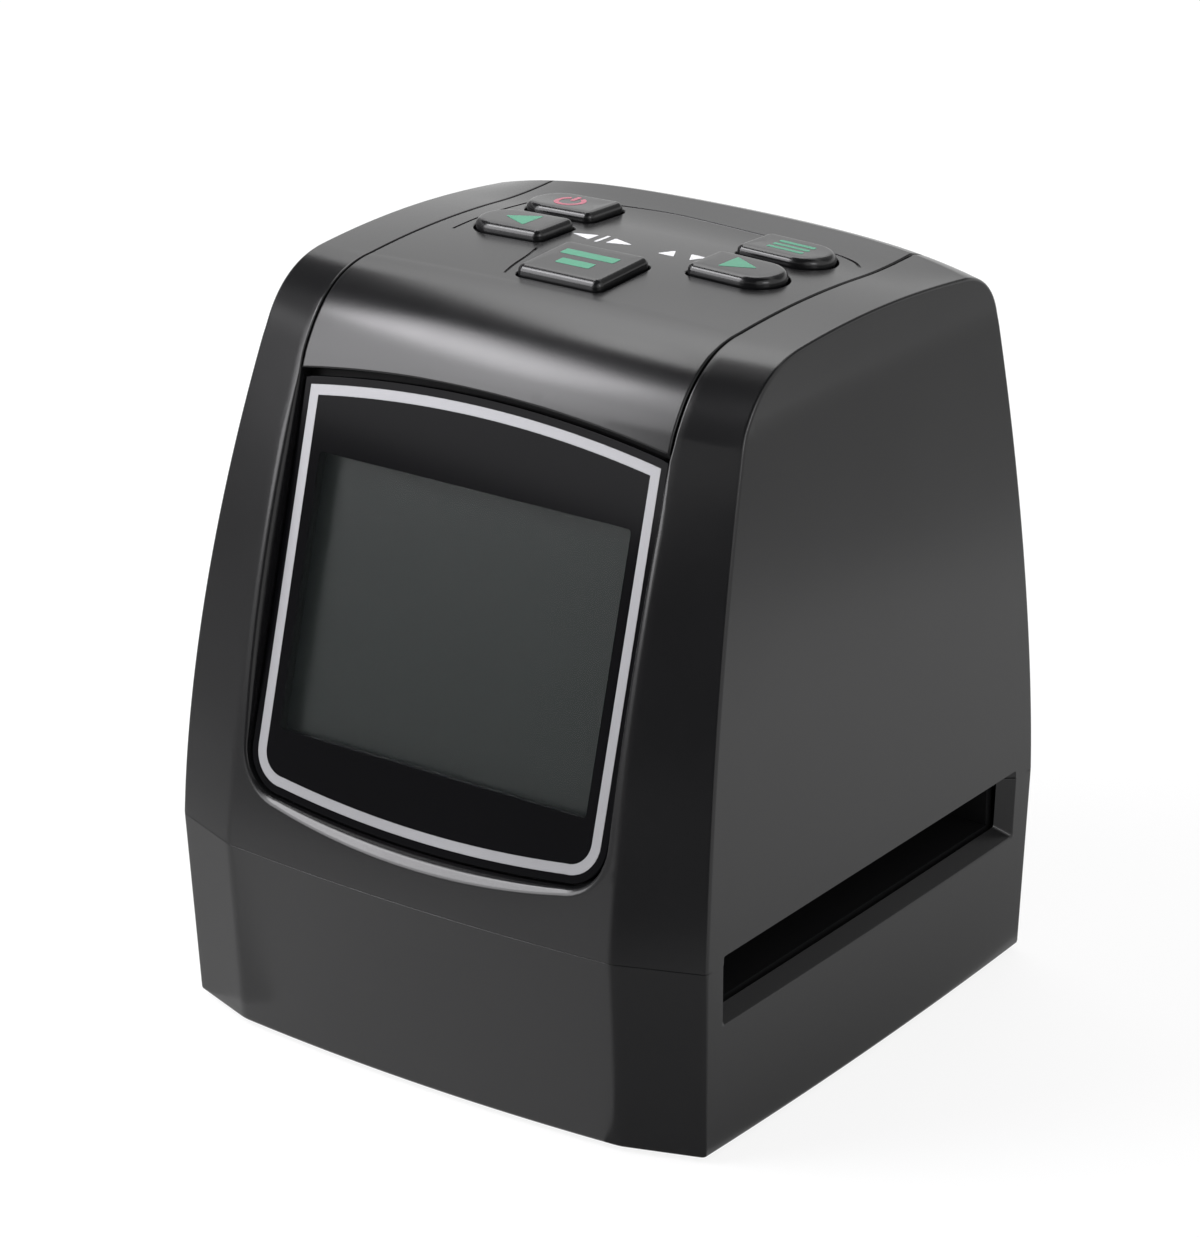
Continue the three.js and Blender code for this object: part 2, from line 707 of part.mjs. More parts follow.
// Sockets one above the other: the card slot takes the height left under the USB socket
const usbLevel = mainBoardHeight - usbDrop;
const cardHeight = usbLevel - usbHeight / 2 - socketSpacing - cardFoot;
const sockets = {
  card_slot: {
    level: cardFoot + cardHeight / 2, height: cardHeight, thickness: cardThickness, depth: cardDepth,
  },
  usb_socket: { level: usbLevel, height: usbHeight, thickness: usbThickness, depth: usbDepth },
  video_jack: {
    level: mainBoardHeight - jackDrop, height: jackSize, thickness: jackSize, depth: jackDepth,
  },
};

function socketPlace({ level, height, thickness, depth }) {
  const z = mainBoardLow + level;
  const mouth = rearSurface(socketX, z + height / 2) - socketSink;
  return { x0: socketX, x1: socketX + thickness, z0: z - height / 2, z1: z + height / 2, mouth, depth };
}

function socketWay(socket) {
  const { x0, x1, z0, z1, mouth } = socketPlace(socket);
  return box(x0 - gap, x1 + gap, mouth - socketWayReach, mouth + overrun, z0 - gap, z1 + gap);
}

function boardPosts() {
  const ys = [boardFrontY + mainPostInset, boardRearY - cardDepth / 2];
  const zs = [mainBoardLow + mainPostInset, mainBoardLow + mainBoardHeight - mainPostInset];
  return ys.flatMap((y) => zs.map((z) => {
    const wallX = -sideHalf(z - base) + wall / 2;
    return postX(wallX, boardBackX - gap, y, z, mainPostRadius, screwSides);
  }));
}

const lensBack = -lensThickness - gap;
const panBack = lensBack - panFloor;
const frameHalfW = lcdWidth / 2 + gap + frameRim;
const frameHalfH = lcdHeight / 2 + gap + frameRim;
const earX = frameHalfW + earReach / 2;
const earPlaces = mirrored.flatMap((side) => mirrored.map(
  (level) => [side * earX, level * earDrop - windowDrop, sideName(side), level]));

function displayPan() {
  const floor = onDisplay(prism(lensOutline(panMargin), panBack, overrun));
  const ears = earPlaces.map(([x, y]) => onDisplay(post(x, y, panBack, overrun, earReach / 2)));
  return join(floor, ...ears).intersect(envelope(gap));
}

function displayWays() {
  const [w, h] = [windowWidth / 2 + windowMargin, windowHeight / 2 + windowMargin];
  const view = box(-w, w, -windowDrop - h, -windowDrop + h, panBack - overrun, 0);
  const screwEnd = panBack - gap - lcdThickness - frameBack - displayBoardThickness
    - 2 * gap + displayScrewLength;
  const screws = earPlaces.map(([x, y]) => post(
    x, y, panBack - overrun, screwEnd + gap, smallScrewRadius + gap, screwSides));
  return [onDisplay(view), ...screws.map(onDisplay)];
}

function coverLedges() {
  const outer = coverWidth / 2 + wall;
  const inner = coverWidth / 2 - ledgeWidth;
  const depth = coverThickness + gap + ledgeThickness;
  const skin = cut(envelope(wall / 2), envelope(depth));
  const rails = mirrored.map((side) => {
    const xs = [side * inner, side * outer].sort((a, b) => a - b);
    return skin.intersect(box(...xs, -bodyDepth, bodyDepth, crestZ - ledgeDrop, crestZ + overrun));
  });
  return join(...rails);
}

function upperShell() {
  const outer = envelope(0).intersect(box(
    -seamWidth, seamWidth, -bodyDepth, bodyDepth, seamZ + gap / 2, crestZ + overrun));
  const skin = cut(outer, envelope(wall));
  const bosses = bossPlaces.map(([x, y]) => {
    const low = seamZ + gap / 2;
    const reach = y < 0 ? [frontY, y] : [y, rearY];
    const rib = box(x - ribThickness / 2, x + ribThickness / 2, ...reach, low, low + upperBossHeight);
    return join(post(x, y, low, low + upperBossHeight, neckRadius), rib.intersect(envelope(gap)));
  });
  const body = join(skin, displayPan(), coverLedges(), ...bosses, ...boardPosts());
  const coverSkin = cut(envelope(-overrun), envelope(coverThickness + gap));
  const coverSpace = coverSkin.intersect(coverRegion(gap));
  const openTop = box(
    ledgeWidth - coverWidth / 2, coverWidth / 2 - ledgeWidth,
    frontMeet.y + frontCorner / 2, rearMeet.y - wall - rearCorner,
    crestZ - ledgeDrop, crestZ + overrun,
  );
  const screwWays = bossPlaces.map(([x, y]) => post(
    x, y, seamZ - overrun, seamZ + upperBossHeight - wall / 2, screwShankRadius + gap, screwSides));
  return cut(
    body, coverSpace, openTop, pocketTool(), ...displayWays(), ...screwWays,
    ...mirrored.map(slotNotch), ...Object.values(sockets).map(socketWay),
  );
}

// Buttons: outer ones round at their outer end, the scan button square
const scanY = frontY + scanSetback;
const frontRowY = scanY + frontRowStep;
const rearRowY = frontRowY + rearRowStep;
const buttonLength = coverWidth / 2 - buttonOuterInset - buttonInnerX;
const buttonSpread = buttonInnerX + buttonLength / 2;
const buttons = [
  { name: 'power', x: -buttonSpread, y: rearRowY, round: -1 },
  { name: 'left', x: -buttonSpread, y: frontRowY, round: -1 },
  { name: 'scan', x: 0, y: scanY, round: 0 },
  { name: 'right', x: buttonSpread, y: frontRowY, round: 1 },
  { name: 'menu', x: buttonSpread, y: rearRowY, round: 1 },
];

function buttonOutline({ x, y, round }, margin) {
  const [width, depth] = round ? [buttonLength, buttonDepth] : [scanWidth, scanDepth];
  const soft = buttonCornerRadius + margin;
  const full = depth / 2 + margin;
  return roundedOutline(
    x, y, width + 2 * margin, depth + 2 * margin,
    round > 0 ? full : soft, round < 0 ? full : soft, buttonCornerSteps,
  );
}

// Heights on a button follow the cover's surface, so its face lies parallel to the cover
function buttonCap(button) {
  const ring = (margin, height) => buttonOutline(button, margin).map(
    ([x, y]) => [x, y, topSurface(x, y) + height]);
  const under = -coverThickness - gap;
  const cap = solid(stack([
    ring(flangeWidth, under - flangeThickness), ring(flangeWidth, under), ring(0, under),
    ring(0, buttonRaise - buttonBevel), ring(-buttonBevel, buttonRaise),
  ]));
  const stemLow = buttonBoardTop + gap + switchHeight + plungerRise + gap;
  const stem = post(button.x, button.y, stemLow,
    topSurface(button.x, button.y) + under - flangeThickness / 2, stemRadius, screwSides);
  return cap.add(stem);
}

function plunger({ x, y }) {
  const top = buttonBoardTop + gap + switchHeight;
  return post(x, y, top - plungerDepth, top + plungerRise, plungerRadius, screwSides);
}

function tactSwitch({ x, y }) {
  const low = buttonBoardTop + gap;
  const half = switchSize / 2;
  const body = box(x - half, x + half, y - half, y + half, low, low + switchHeight);
  return cut(body, post(x, y, low + switchFloor, low + switchHeight + overrun,
    plungerRadius + gap, screwSides));
}

const boardY0 = scanY - buttonBoardFront;
const boardY1 = rearRowY + buttonBoardRear;
const boardScrews = mirrored.flatMap((side) => [
  [side * (coverWidth / 2 - frontPostInset), boardY0 + postInset, sideName(side), 'front'],
  [side * rearPostSpan / 2, boardY1 - postInset, sideName(side), 'rear'],
]);

function topCover() {
  const skin = cut(envelope(0), envelope(coverThickness)).intersect(coverRegion(0));
  const posts = boardScrews.map(([x, y]) => post(
    x, y, buttonBoardTop + gap, topSurface(x, y) - coverThickness / 2, postRadius, screwSides));
  const holes = buttons.map((button) => prism(
    buttonOutline(button, buttonHoleGap), crestZ - coverRearDrop, crestZ + overrun));
  const screws = boardScrews.map(([x, y]) => post(
    x, y, buttonBoardTop - overrun,
    buttonBoardTop - boardThickness - gap + cornerScrewLength + gap,
    smallScrewRadius + gap, screwSides));
  return cut(join(skin, ...posts), ...holes, ...screws);
}

function buttonBoard() {
  const half = coverWidth / 2 - buttonBoardInset;
  const plate = box(-half, half, boardY0, boardY1, buttonBoardTop - boardThickness, buttonBoardTop);
  return cut(plate, ...boardScrews.map(([x, y]) => post(
    x, y, buttonBoardTop - overrun, buttonBoardTop + overrun, smallScrewRadius + gap, screwSides)));
}

// A screw along +Z: a domed head with a conical recess, the shank rising from it
function screw(headRadius, headHeight, shankRadius, length) {
  const recess = headRadius / 2;
  const points = [
    [0, recess / 2], [recess, 0], [headRadius * headRimShare, 0], [headRadius, headHeight / 2],
    [headRadius, headHeight], [shankRadius, headHeight],
    [shankRadius, headHeight + length * threadShare], [0, headHeight + length],
  ];
  const geometry = new THREE.LatheGeometry(points.map(([x, y]) => new THREE.Vector2(x, y)), screwSides);
  geometry.rotateX(Math.PI / 2);
  return solid(geometry);
}

// Film path: track below, gate above, each with the picture's aperture
function filmTrack() {
  const plate = box(-plateHalf, plateHalf, trackFrontY, trackRearY, trackLowZ, trackTopZ);
  const rails = [trackFrontY, trackRearY - railWidth].map((y) => box(
    -plateHalf, plateHalf, y, y + railWidth, trackTopZ - gap, gateLowZ - gap));
  return cut(join(plate, ...rails), aperture(trackLowZ, trackTopZ));
}

function aperture(z0, z1) {
  const [hx, hy] = [apertureLength / 2, apertureWidth / 2];
  return box(-hx, hx, filmY - hy, filmY + hy, z0 - overrun, z1 + overrun);
}

function filmGate() {
  const half = innerHalf - gap;
  const plate = box(-half, half, trackFrontY, trackRearY, gateLowZ, gateTopZ);
  return cut(plate, aperture(gateLowZ, gateTopZ));
}

const diffuserHalfX = apertureLength / 2 + diffuserMargin;
const diffuserHalfY = apertureWidth / 2 + diffuserMargin;
const diffuserTop = trackLowZ - gap;
const lightBoxTop = diffuserTop - diffuserThickness - gap;
const lightBoardTop = floorZ + gap + boardThickness;
const lightBoxLow = lightBoardTop + gap;

function diffuser() {
  return box(-diffuserHalfX, diffuserHalfX, filmY - diffuserHalfY, filmY + diffuserHalfY,
    diffuserTop - diffuserThickness, diffuserTop);
}

function lightBox() {
  const ring = (margin, z) => [[-1, -1], [1, -1], [1, 1], [-1, 1]].map(([sx, sy]) => [
    sx * (diffuserHalfX + margin), filmY + sy * (diffuserHalfY + margin), z]);
  const outer = solid(stack([ring(0, lightBoxLow), ring(0, lightBoxTop)]));
  const inner = solid(stack([
    ring(-lightBoxWall - diffuserMargin, lightBoxLow - gap), ring(-lightBoxWall, lightBoxTop + gap)]));
  return cut(outer, inner);
}

function lightBoard() {
  return box(-diffuserHalfX, diffuserHalfX, filmY - diffuserHalfY, filmY + diffuserHalfY,
    floorZ + gap, lightBoardTop);
}

const ledPlaces = mirrored.flatMap((sx) => mirrored.map(
  (sy) => [sx * ledSpanX / 2, filmY + sy * ledSpanY / 2]));

function led([x, y]) {
  const half = ledSize / 2;
  return box(x - half, x + half, y - half, y + half, lightBoardTop + gap, lightBoardTop + gap + ledHeight);
}

// Camera: a tapering hood on the gate, the lens holder on it, barrel, lens, board and sensor
function opticalHood() {
  const ring = (hx, hy, z) => [[-hx, -hy], [hx, -hy], [hx, hy], [-hx, hy]].map(
    ([x, y]) => [x, filmY + y, z]);
  const [bx, by] = [apertureLength / 2 + hoodWall, apertureWidth / 2 + hoodWall];
  const topHalf = hoodTopWidth / 2;
  const outer = solid(stack([ring(bx, by, hoodLowZ), ring(topHalf, topHalf, hoodTopZ)]));
  const inner = solid(stack([
    ring(bx - hoodWall, by - hoodWall, hoodLowZ - gap),
    ring(topHalf - hoodWall, topHalf - hoodWall, hoodTopZ - hoodWall),
  ]));
  const flange = box(-bx - hoodFlange, bx + hoodFlange, filmY - by - hoodFlange, filmY + by + hoodFlange,
    hoodLowZ, hoodLowZ + hoodWall);
  const hole = post(0, filmY, hoodTopZ - overrun, hoodTopZ + overrun, barrelRadius + barrelClearance);
  return cut(join(outer, flange), inner, hole);
}

const holderLow = hoodTopZ + gap;
const holderTop = holderLow + holderHeight;
const barrelLow = hoodTopZ - barrelHang;
const chamberLow = holderTop - sensorRoom;

function squareBlock(size, z0, z1) {
  return box(-size / 2, size / 2, filmY - size / 2, filmY + size / 2, z0, z1);
}

function lensHolder() {
  return cut(
    squareBlock(holderSize, holderLow, holderTop),
    post(0, filmY, holderLow - overrun, holderTop, barrelRadius + gap),
    squareBlock(sensorChamber, chamberLow, holderTop + overrun),
  );
}

function ringTube(outerRadius, innerRadius, z0, z1) {
  return cut(post(0, filmY, z0, z1, outerRadius), post(0, filmY, z0 - gap, z1 + gap, innerRadius));
}

function objectiveLens() {
  const [r, edge, mid] = [barrelBore - gap, objectiveEdge / 2, objectiveThickness / 2];
  const steps = [0, 1, 2];
  const lower = steps.map((i) => [r * i / 2, -lerp(mid, edge, (i / 2) ** 2)]);
  const upper = steps.map((i) => [r * (2 - i) / 2, lerp(mid, edge, ((2 - i) / 2) ** 2)]);
  const points = [...lower, ...upper].map(([x, y]) => new THREE.Vector2(x, y));
  const geometry = new THREE.LatheGeometry(points, roundSides);
  geometry.rotateX(Math.PI / 2);
  geometry.translate(0, filmY, barrelLow + objectiveInset + mid);
  return solid(geometry);
}

// Main board and its parts
function mainBoard() {
  return box(boardBackX, mainBoardX, boardFrontY, boardRearY, mainBoardLow, mainBoardLow + mainBoardHeight);
}

function chip(length, width, levelShare) {
  const y = boardFrontY + chipFrontRoom + length / 2;
  const z = mainBoardLow + mainBoardHeight * levelShare;
  return box(socketX, socketX + processorThickness, y - length / 2, y + length / 2,
    z - width / 2, z + width / 2);
}

// A sheet metal socket, open at its mouth
function socketShell(socket) {
  const { x0, x1, z0, z1, mouth, depth } = socketPlace(socket);
  const w = socketWall;
  return cut(
    box(x0, x1, mouth - depth, mouth, z0, z1),
    box(x0 + w, x1 - w, mouth - depth + w, mouth + overrun, z0 + w, z1 - w),
  );
}

function videoJack() {
  const { x0, x1, z0, z1, mouth, depth } = socketPlace(sockets.video_jack);
  const bore = postY((x0 + x1) / 2, (z0 + z1) / 2, mouth - depth + socketWall, mouth + overrun, jackBore);
  return cut(box(x0, x1, mouth - depth, mouth, z0, z1), bore);
}

// Display stack, in the display's own frame
function displayLens() {
  return prism(lensOutline(0), -lensThickness, 0);
}

const lcdFront = panBack - gap;
const frameBackZ = lcdFront - lcdThickness - gap - frameBack;
const displayBoardFront = frameBackZ - gap;

function displayBlock(halfW, halfH, z0, z1) {
  return box(-halfW, halfW, -windowDrop - halfH, -windowDrop + halfH, z0, z1);
}

function lcdFrame() {
  const ears = earPlaces.map(([x, y]) => box(
    Math.min(x, Math.sign(x) * frameHalfW) - earReach / 2, Math.max(x, Math.sign(x) * frameHalfW)
    + earReach / 2, y - earHeight / 2, y + earHeight / 2, frameBackZ, frameBackZ + frameBack));
  const body = join(displayBlock(frameHalfW, frameHalfH, frameBackZ, lcdFront), ...ears);
  const seat = displayBlock(lcdWidth / 2 + gap, lcdHeight / 2 + gap, frameBackZ + frameBack, overrun);
  const back = displayBlock(
    windowWidth / 2 - frameRim, windowHeight / 2 - frameRim, frameBackZ - overrun, overrun);
  return cut(body, seat, back, ...earWays(frameBackZ - overrun));
}

function earWays(low) {
  return earPlaces.map(([x, y]) => post(x, y, low, overrun, smallScrewRadius + gap, screwSides));
}

function displayBoard() {
  const plate = displayBlock(frameHalfW + earReach, frameHalfH - frameRim,
    displayBoardFront - displayBoardThickness, displayBoardFront);
  return cut(plate, ...earWays(displayBoardFront - overrun));
}

// The colours and finishes of the pieces
const finishes = {
  charcoal: [0x36383a, 0.55, 0], satinBlack: [0x151617, 0.35, 0], glossBlack: [0x101112, 0.08, 0],
  screen: [0x34403d, 0.2, 0], board: [0x1f5a34, 0.6, 0], chip: [0x1a1a1c, 0.5, 0],
  steel: [0xb9bcc0, 0.3, 1], rubber: [0x1b1b1c, 0.9, 0], milky: [0xe8ebec, 0.5, 0],
  white: [0xdedede, 0.6, 0], matteBlack: [0x121213, 0.8, 0], glass: [0x9fb4bd, 0.05, 0],
  amber: [0xe3cf6a, 0.4, 0],
};

const scanner = new THREE.Group();

function piece(name, manifold, finish, parent = scanner) {
  const [color, roughness, metalness] = finishes[finish];
  const mesh = new THREE.Mesh(
    geometryOf(manifold), new THREE.MeshStandardMaterial({ color, roughness, metalness }));
  mesh.name = name;
  parent.add(mesh);
  return mesh;
}

// Casing
piece('base_shell', baseShell(), 'charcoal');
piece('upper_shell', upperShell(), 'charcoal');
piece('top_cover', topCover(), 'charcoal');
for (const [x, y, row, side] of footPlaces) {
  piece(`foot_${row}_${sideName(side)}`, post(x, y, 0, base + footRecess - gap, footRadius), 'rubber');
}
for (const [x, y, row, side] of bossPlaces) {
  const length = seamZ + upperBossHeight - wall - headSeatZ;
  const mesh = piece(`case_screw_${row}_${sideName(side)}`,
    screw(screwHeadRadius, screwHeadHeight, screwShankRadius, length), 'steel');
  mesh.position.set(x, y, headSeatZ - gap - screwHeadHeight);
}

// Display
const display = displayGroup();
scanner.add(display);
piece('display_lens', displayLens(), 'glossBlack', display);
piece('lcd_panel', displayBlock(lcdWidth / 2, lcdHeight / 2, lcdFront - lcdThickness, lcdFront),
  'screen', display);
piece('lcd_frame', lcdFrame(), 'matteBlack', display);
piece('display_board', displayBoard(), 'board', display);
for (const [x, y, side, level] of earPlaces) {
  const mesh = piece(`display_screw_${level > 0 ? 'upper' : 'lower'}_${side}`,
    screw(smallHeadRadius, smallHeadHeight, smallScrewRadius, displayScrewLength), 'steel', display);
  mesh.position.set(x, y, displayBoardFront - displayBoardThickness - gap - smallHeadHeight);
}

// Buttons
for (const button of buttons) {
  piece(`${button.name}_button`, buttonCap(button), 'satinBlack');
  piece(`${button.name}_plunger`, plunger(button), 'satinBlack');
  piece(`${button.name}_switch`, tactSwitch(button), 'chip');
}
piece('button_board', buttonBoard(), 'board');
for (const [x, y, side, row] of boardScrews) {
  const mesh = piece(`board_screw_${row}_${side}`,
    screw(smallHeadRadius, smallHeadHeight, smallScrewRadius, cornerScrewLength), 'steel');
  mesh.position.set(x, y, buttonBoardTop - boardThickness - gap - smallHeadHeight);
}

// Film path and backlight
piece('film_track', filmTrack(), 'matteBlack');
piece('film_gate', filmGate(), 'matteBlack');
piece('backlight_diffuser', diffuser(), 'milky');
piece('light_box', lightBox(), 'white');
piece('light_board', lightBoard(), 'white');
ledPlaces.forEach((place, i) => piece(`backlight_led_${i + 1}`, led(place), 'amber'));

// Camera
piece('optical_hood', opticalHood(), 'matteBlack');
piece('lens_holder', lensHolder(), 'matteBlack');
piece('lens_barrel', ringTube(barrelRadius, barrelBore, barrelLow, barrelLow + barrelLength), 'matteBlack');
piece('objective_lens', objectiveLens(), 'glass');
piece('sensor_board', squareBlock(
  sensorBoardSize, holderTop + gap, holderTop + gap + sensorBoardThickness), 'board');
piece('image_sensor', squareBlock(sensorSize, holderTop - sensorThickness, holderTop), 'chip');

// Main board
piece('main_board', mainBoard(), 'board');
piece('processor_chip', chip(processorSize, processorSize, chipLevelShares[0]), 'chip');
piece('memory_chip', chip(memoryLength, memoryWidth, chipLevelShares[1]), 'chip');
piece('card_slot', socketShell(sockets.card_slot), 'steel');
piece('usb_socket', socketShell(sockets.usb_socket), 'steel');
piece('video_jack', videoJack(), 'satinBlack');

export default scanner;
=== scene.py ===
"""Looks for the desktop film scanner: fine casing, window, buttons, materials, lights and camera.

Lengths are in millimetres, in the part's own frame, and turn into metres where a mesh is made.
-Y is the screen side, +X the right of someone facing the screen, +Z up.
"""
import math

import bmesh
import bpy
import numpy as np
from mathutils import Matrix, Vector
from mathutils.geometry import delaunay_2d_cdt


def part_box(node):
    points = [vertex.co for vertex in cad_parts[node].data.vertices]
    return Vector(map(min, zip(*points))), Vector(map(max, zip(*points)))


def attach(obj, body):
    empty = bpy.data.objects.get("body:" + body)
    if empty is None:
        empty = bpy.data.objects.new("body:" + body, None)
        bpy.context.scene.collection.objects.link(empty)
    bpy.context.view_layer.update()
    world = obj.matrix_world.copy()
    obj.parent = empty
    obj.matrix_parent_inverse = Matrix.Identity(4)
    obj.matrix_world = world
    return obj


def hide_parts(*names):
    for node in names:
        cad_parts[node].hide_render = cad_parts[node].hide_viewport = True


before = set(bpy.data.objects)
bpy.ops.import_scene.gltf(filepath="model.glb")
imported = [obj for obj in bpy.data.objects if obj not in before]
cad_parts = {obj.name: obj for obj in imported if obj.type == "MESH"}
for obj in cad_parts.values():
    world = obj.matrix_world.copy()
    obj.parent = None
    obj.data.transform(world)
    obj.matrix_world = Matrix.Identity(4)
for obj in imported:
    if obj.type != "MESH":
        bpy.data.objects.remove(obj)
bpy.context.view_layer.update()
MM = 0.001

# Casing: overall sizes and wall
BODY_DEPTH = 88.3
BODY_HEIGHT = 103.9
BASE_WIDTH = 85
SEAM_WIDTH = 86.8
TOP_WIDTH = 77.2
SEAM_HEIGHT = 27.05
STAND_OFF = 0.8
WALL = 2.2
GAP = 0.3

# Casing: plan shape of the front, rear and top
FACET_BASE = 63.2
FACET_TOP = 60.4
STEP_BASE = 3.8
STEP_SEAM = 4.5
STEP_TOP = 2
FRONT_BOW = 1.45
REAR_BOW = 2.5
CROWN = 1.14
CREASE_STEPS = (-1.2, -0.8, -0.4, 0, 0.4, 0.8, 1.2)
CREASE = 0.8                     # half width of the soft edges of the front

# Casing: side profile
FRONT_DRAFT = 1.15
REAR_DRAFT = 0.6
FRONT_SLOPE = math.tan(math.radians(3.9))
FRONT_RADIUS = 221
REAR_SLOPE = math.tan(math.radians(0.6))
REAR_RADIUS = 555
ARCH_RADIUS = 180
ARCH_SETBACK = 3
FRONT_CORNER = 9
TAPER_DROP = 7.4                 # end of the sides' taper below the corner of the profile
REAR_CORNER = 7.5
REAR_LIFT = 2.0                  # how much more the middle rises along the rear of the top
LIFT_START = 16
TAPER_POWER = 1.55

# Film slot
SLOT_FRONT_INSET = 9.65
SLOT_REAR_INSET = 7.55
SLOT_FLARE = 0.8
SILL_FALL = 7.35
SILL_DROP = 1.6
NOTCH_FLARE = 1.8                # the slot narrows by this at each end through the upper wall
SLOT_RISE = 1.25

# Window
TILT = math.radians(15.55)
TOP_DROP = 15.3                  # top corners of the silver line below the crest
FOOT_RISE = 7.2
FOOT_SETBACK = 2.28
LENS_HALF = 29.3
LENS_ABOVE = 3.5
LENS_ARC = 172
LENS_CORNER = 6
LENS_THICK = 1.5
POCKET_DRAFT = 0.6
POCKET_REACH = 8
LIP_SLOPE = 1.85
LIP_POWER = 16
WINDOW_HALF = 25.15
WINDOW_TOP = 8.4
WINDOW_LOW = 10.5
SCREEN_DEPTH = 2.55              # of the screen's face behind the window's
SCREEN_BACK = 6                  # the same, of its back
SCREEN_SIDE = 2.1                # how far it reaches beyond the clear field
SCREEN_END = 2.7                 # the same, above and below
VIEW_MARGIN = 0.8                # of the opening behind the window, beyond the clear field
SEAT_THICK = 0.6                 # plate behind the window
SEAT_MARGIN = 2
LINE_OUTER = -1.17               # edges of the silver line, from the window's own edge
LINE_INNER = -2.57

# Top cover and buttons
COVER_HALF = 29.5
COVER_EDGE = 1
COVER_THICK = 2.2
COVER_REAR_DROP = 9.5
BUTTON_RAISE = 1.4
BUTTON_INNER = 11.75
BUTTON_OUTER = 5.05
BUTTON_DEPTH = 8.4
SCAN_WIDTH = 13.6
SCAN_DEPTH = 11.8
SCAN_SETBACK = 39.65
FRONT_ROW_STEP = 10.4
REAR_ROW_STEP = 11.5

# Feet and case screws
FOOT_RADIUS = 4.5
FOOT_RECESS = 0.9
SCREW_WAY = 2.4
SEAT_DROP = 11                   # seat of a case screw's head below the seam

# Roundings of the fine casing
SIDE_FILLET = 0.5                # along the upright edges and the sides of the top
RIM = 0.3                        # at seams and openings
SEAM_GAP = 0.03                  # between the two casings
SEAM_RIM = 0.1
SILL_RIM = 0.3                   # along the lower lip of the slot
SIDE_BOW = 0.8                   # how far the base's sides bulge at the bottom
POCKET_RIM = 1.2                 # beside the window
LIP_RIM = 0.25                   # along the lip below it
RIM_FADE = 8                     # the window's rim grows over this, from its top corners down
RIM_SHARE = 0.45                 # of the pocket's wall that its rim may take
FOOT_RIM = 0.5                   # round the bottom
SEAM_CORNER = 0.2                # where the slot meets the seam
SLOT_CORNER = 0.5
FLARE_FADE = 3                   # beyond the slot's ends, inside the upper wall
SOCKET_CORNER = 0.5
BUTTON_CORNER = 1.2
RIM_ROWS = 3
FILLET_ROWS = 4
SILL_ROWS = 6

# How fine the meshes are
SKIN_HALF = 42                   # columns across the skin reach this far
SKIN_STEP = 2.0
CLIMB_STEP = 1.6                 # up the casing's edges
COVER_STEP = 1.8
COVER_EDGE_STEP = 1.5
WALL_STEP = 3.5
INSIDE_STEP = 3.0
CREASE_REACH = 1.8               # fine columns this far on both sides of an edge of the front
FACET_SHIFT = 0.25               # how much further out these edges come on the base's unrolled walls
REAR_ROOM = 0.8                  # between an outline's rear corner and its nearest point on the side
SAME = 1e-6                      # points closer than this are one

# Places worked out from the sizes above
SEAM_Z = STAND_OFF + SEAM_HEIGHT
CREST_Z = STAND_OFF + BODY_HEIGHT
FRONT_Y = -BODY_DEPTH / 2
REAR_Y = BODY_DEPTH / 2
SIDE_FRONT_Y = FRONT_Y + FRONT_BOW + STEP_SEAM
SIDE_REAR_Y = REAR_Y - REAR_BOW
SIDE_CREST_Z = CREST_Z - CROWN
BASE_TOP_Z = SEAM_Z - SEAM_GAP / 2
SHELL_LOW_Z = SEAM_Z + SEAM_GAP / 2
SILL_Z = SEAM_Z - SILL_FALL
SLOT_TOP_Z = SEAM_Z + SLOT_RISE
SLOT_FRONT = FRONT_Y + SLOT_FRONT_INSET
SLOT_REAR = REAR_Y - SLOT_REAR_INSET + SLOT_FLARE
DISPLAY_TOP_Z = CREST_Z - TOP_DROP
LENS_BELOW = (DISPLAY_TOP_Z - SEAM_Z - FOOT_RISE) / math.cos(TILT)
DISPLAY_Y = FRONT_Y + FOOT_SETBACK + LENS_BELOW * math.sin(TILT)
SCAN_Y = FRONT_Y + SCAN_SETBACK
FRONT_ROW_Y = SCAN_Y + FRONT_ROW_STEP
REAR_ROW_Y = FRONT_ROW_Y + REAR_ROW_STEP
BUTTON_LENGTH = COVER_HALF - BUTTON_OUTER - BUTTON_INNER
BUTTON_X = BUTTON_INNER + BUTTON_LENGTH / 2
DOWN = np.array([0.0, 0.0, -1.0])


def lerp(a, b, t):
    return a + (b - a) * t


def unit(v):
    return v / np.linalg.norm(v, axis=-1, keepdims=True)


def bezier(a, b, c, t):
    return (1 - t) ** 2 * a + 2 * t * (1 - t) * b + t * t * c


def bisect(low_side, low, high, rounds=40):
    """Where low_side, true on the low end, turns false, for arrays of ends."""
    low, high = np.array(low, float), np.array(high, float)
    for _ in range(rounds):
        mid = (low + high) / 2
        below = low_side(mid)
        low, high = np.where(below, mid, low), np.where(below, high, mid)
    return (low + high) / 2


# Casing surface: side profile by arc length s, from the front's bottom over the top to the rear's
def lean_front(h):
    return SIDE_FRONT_Y + FRONT_SLOPE * (h - SEAM_HEIGHT) + (h - SEAM_HEIGHT) ** 2 / (2 * FRONT_RADIUS)


def lean_rear(h):
    return SIDE_REAR_Y - REAR_SLOPE * (h - SEAM_HEIGHT) - (h - SEAM_HEIGHT) ** 2 / (2 * REAR_RADIUS)


def arch(y):
    return SIDE_CREST_Z - (y - ARCH_SETBACK) ** 2 / (2 * ARCH_RADIUS)


def meeting(edge, rounds=8):
    h = BODY_HEIGHT
    for _ in range(rounds):
        h = arch(edge(h)) - STAND_OFF
    return np.array([edge(h), STAND_OFF + h])


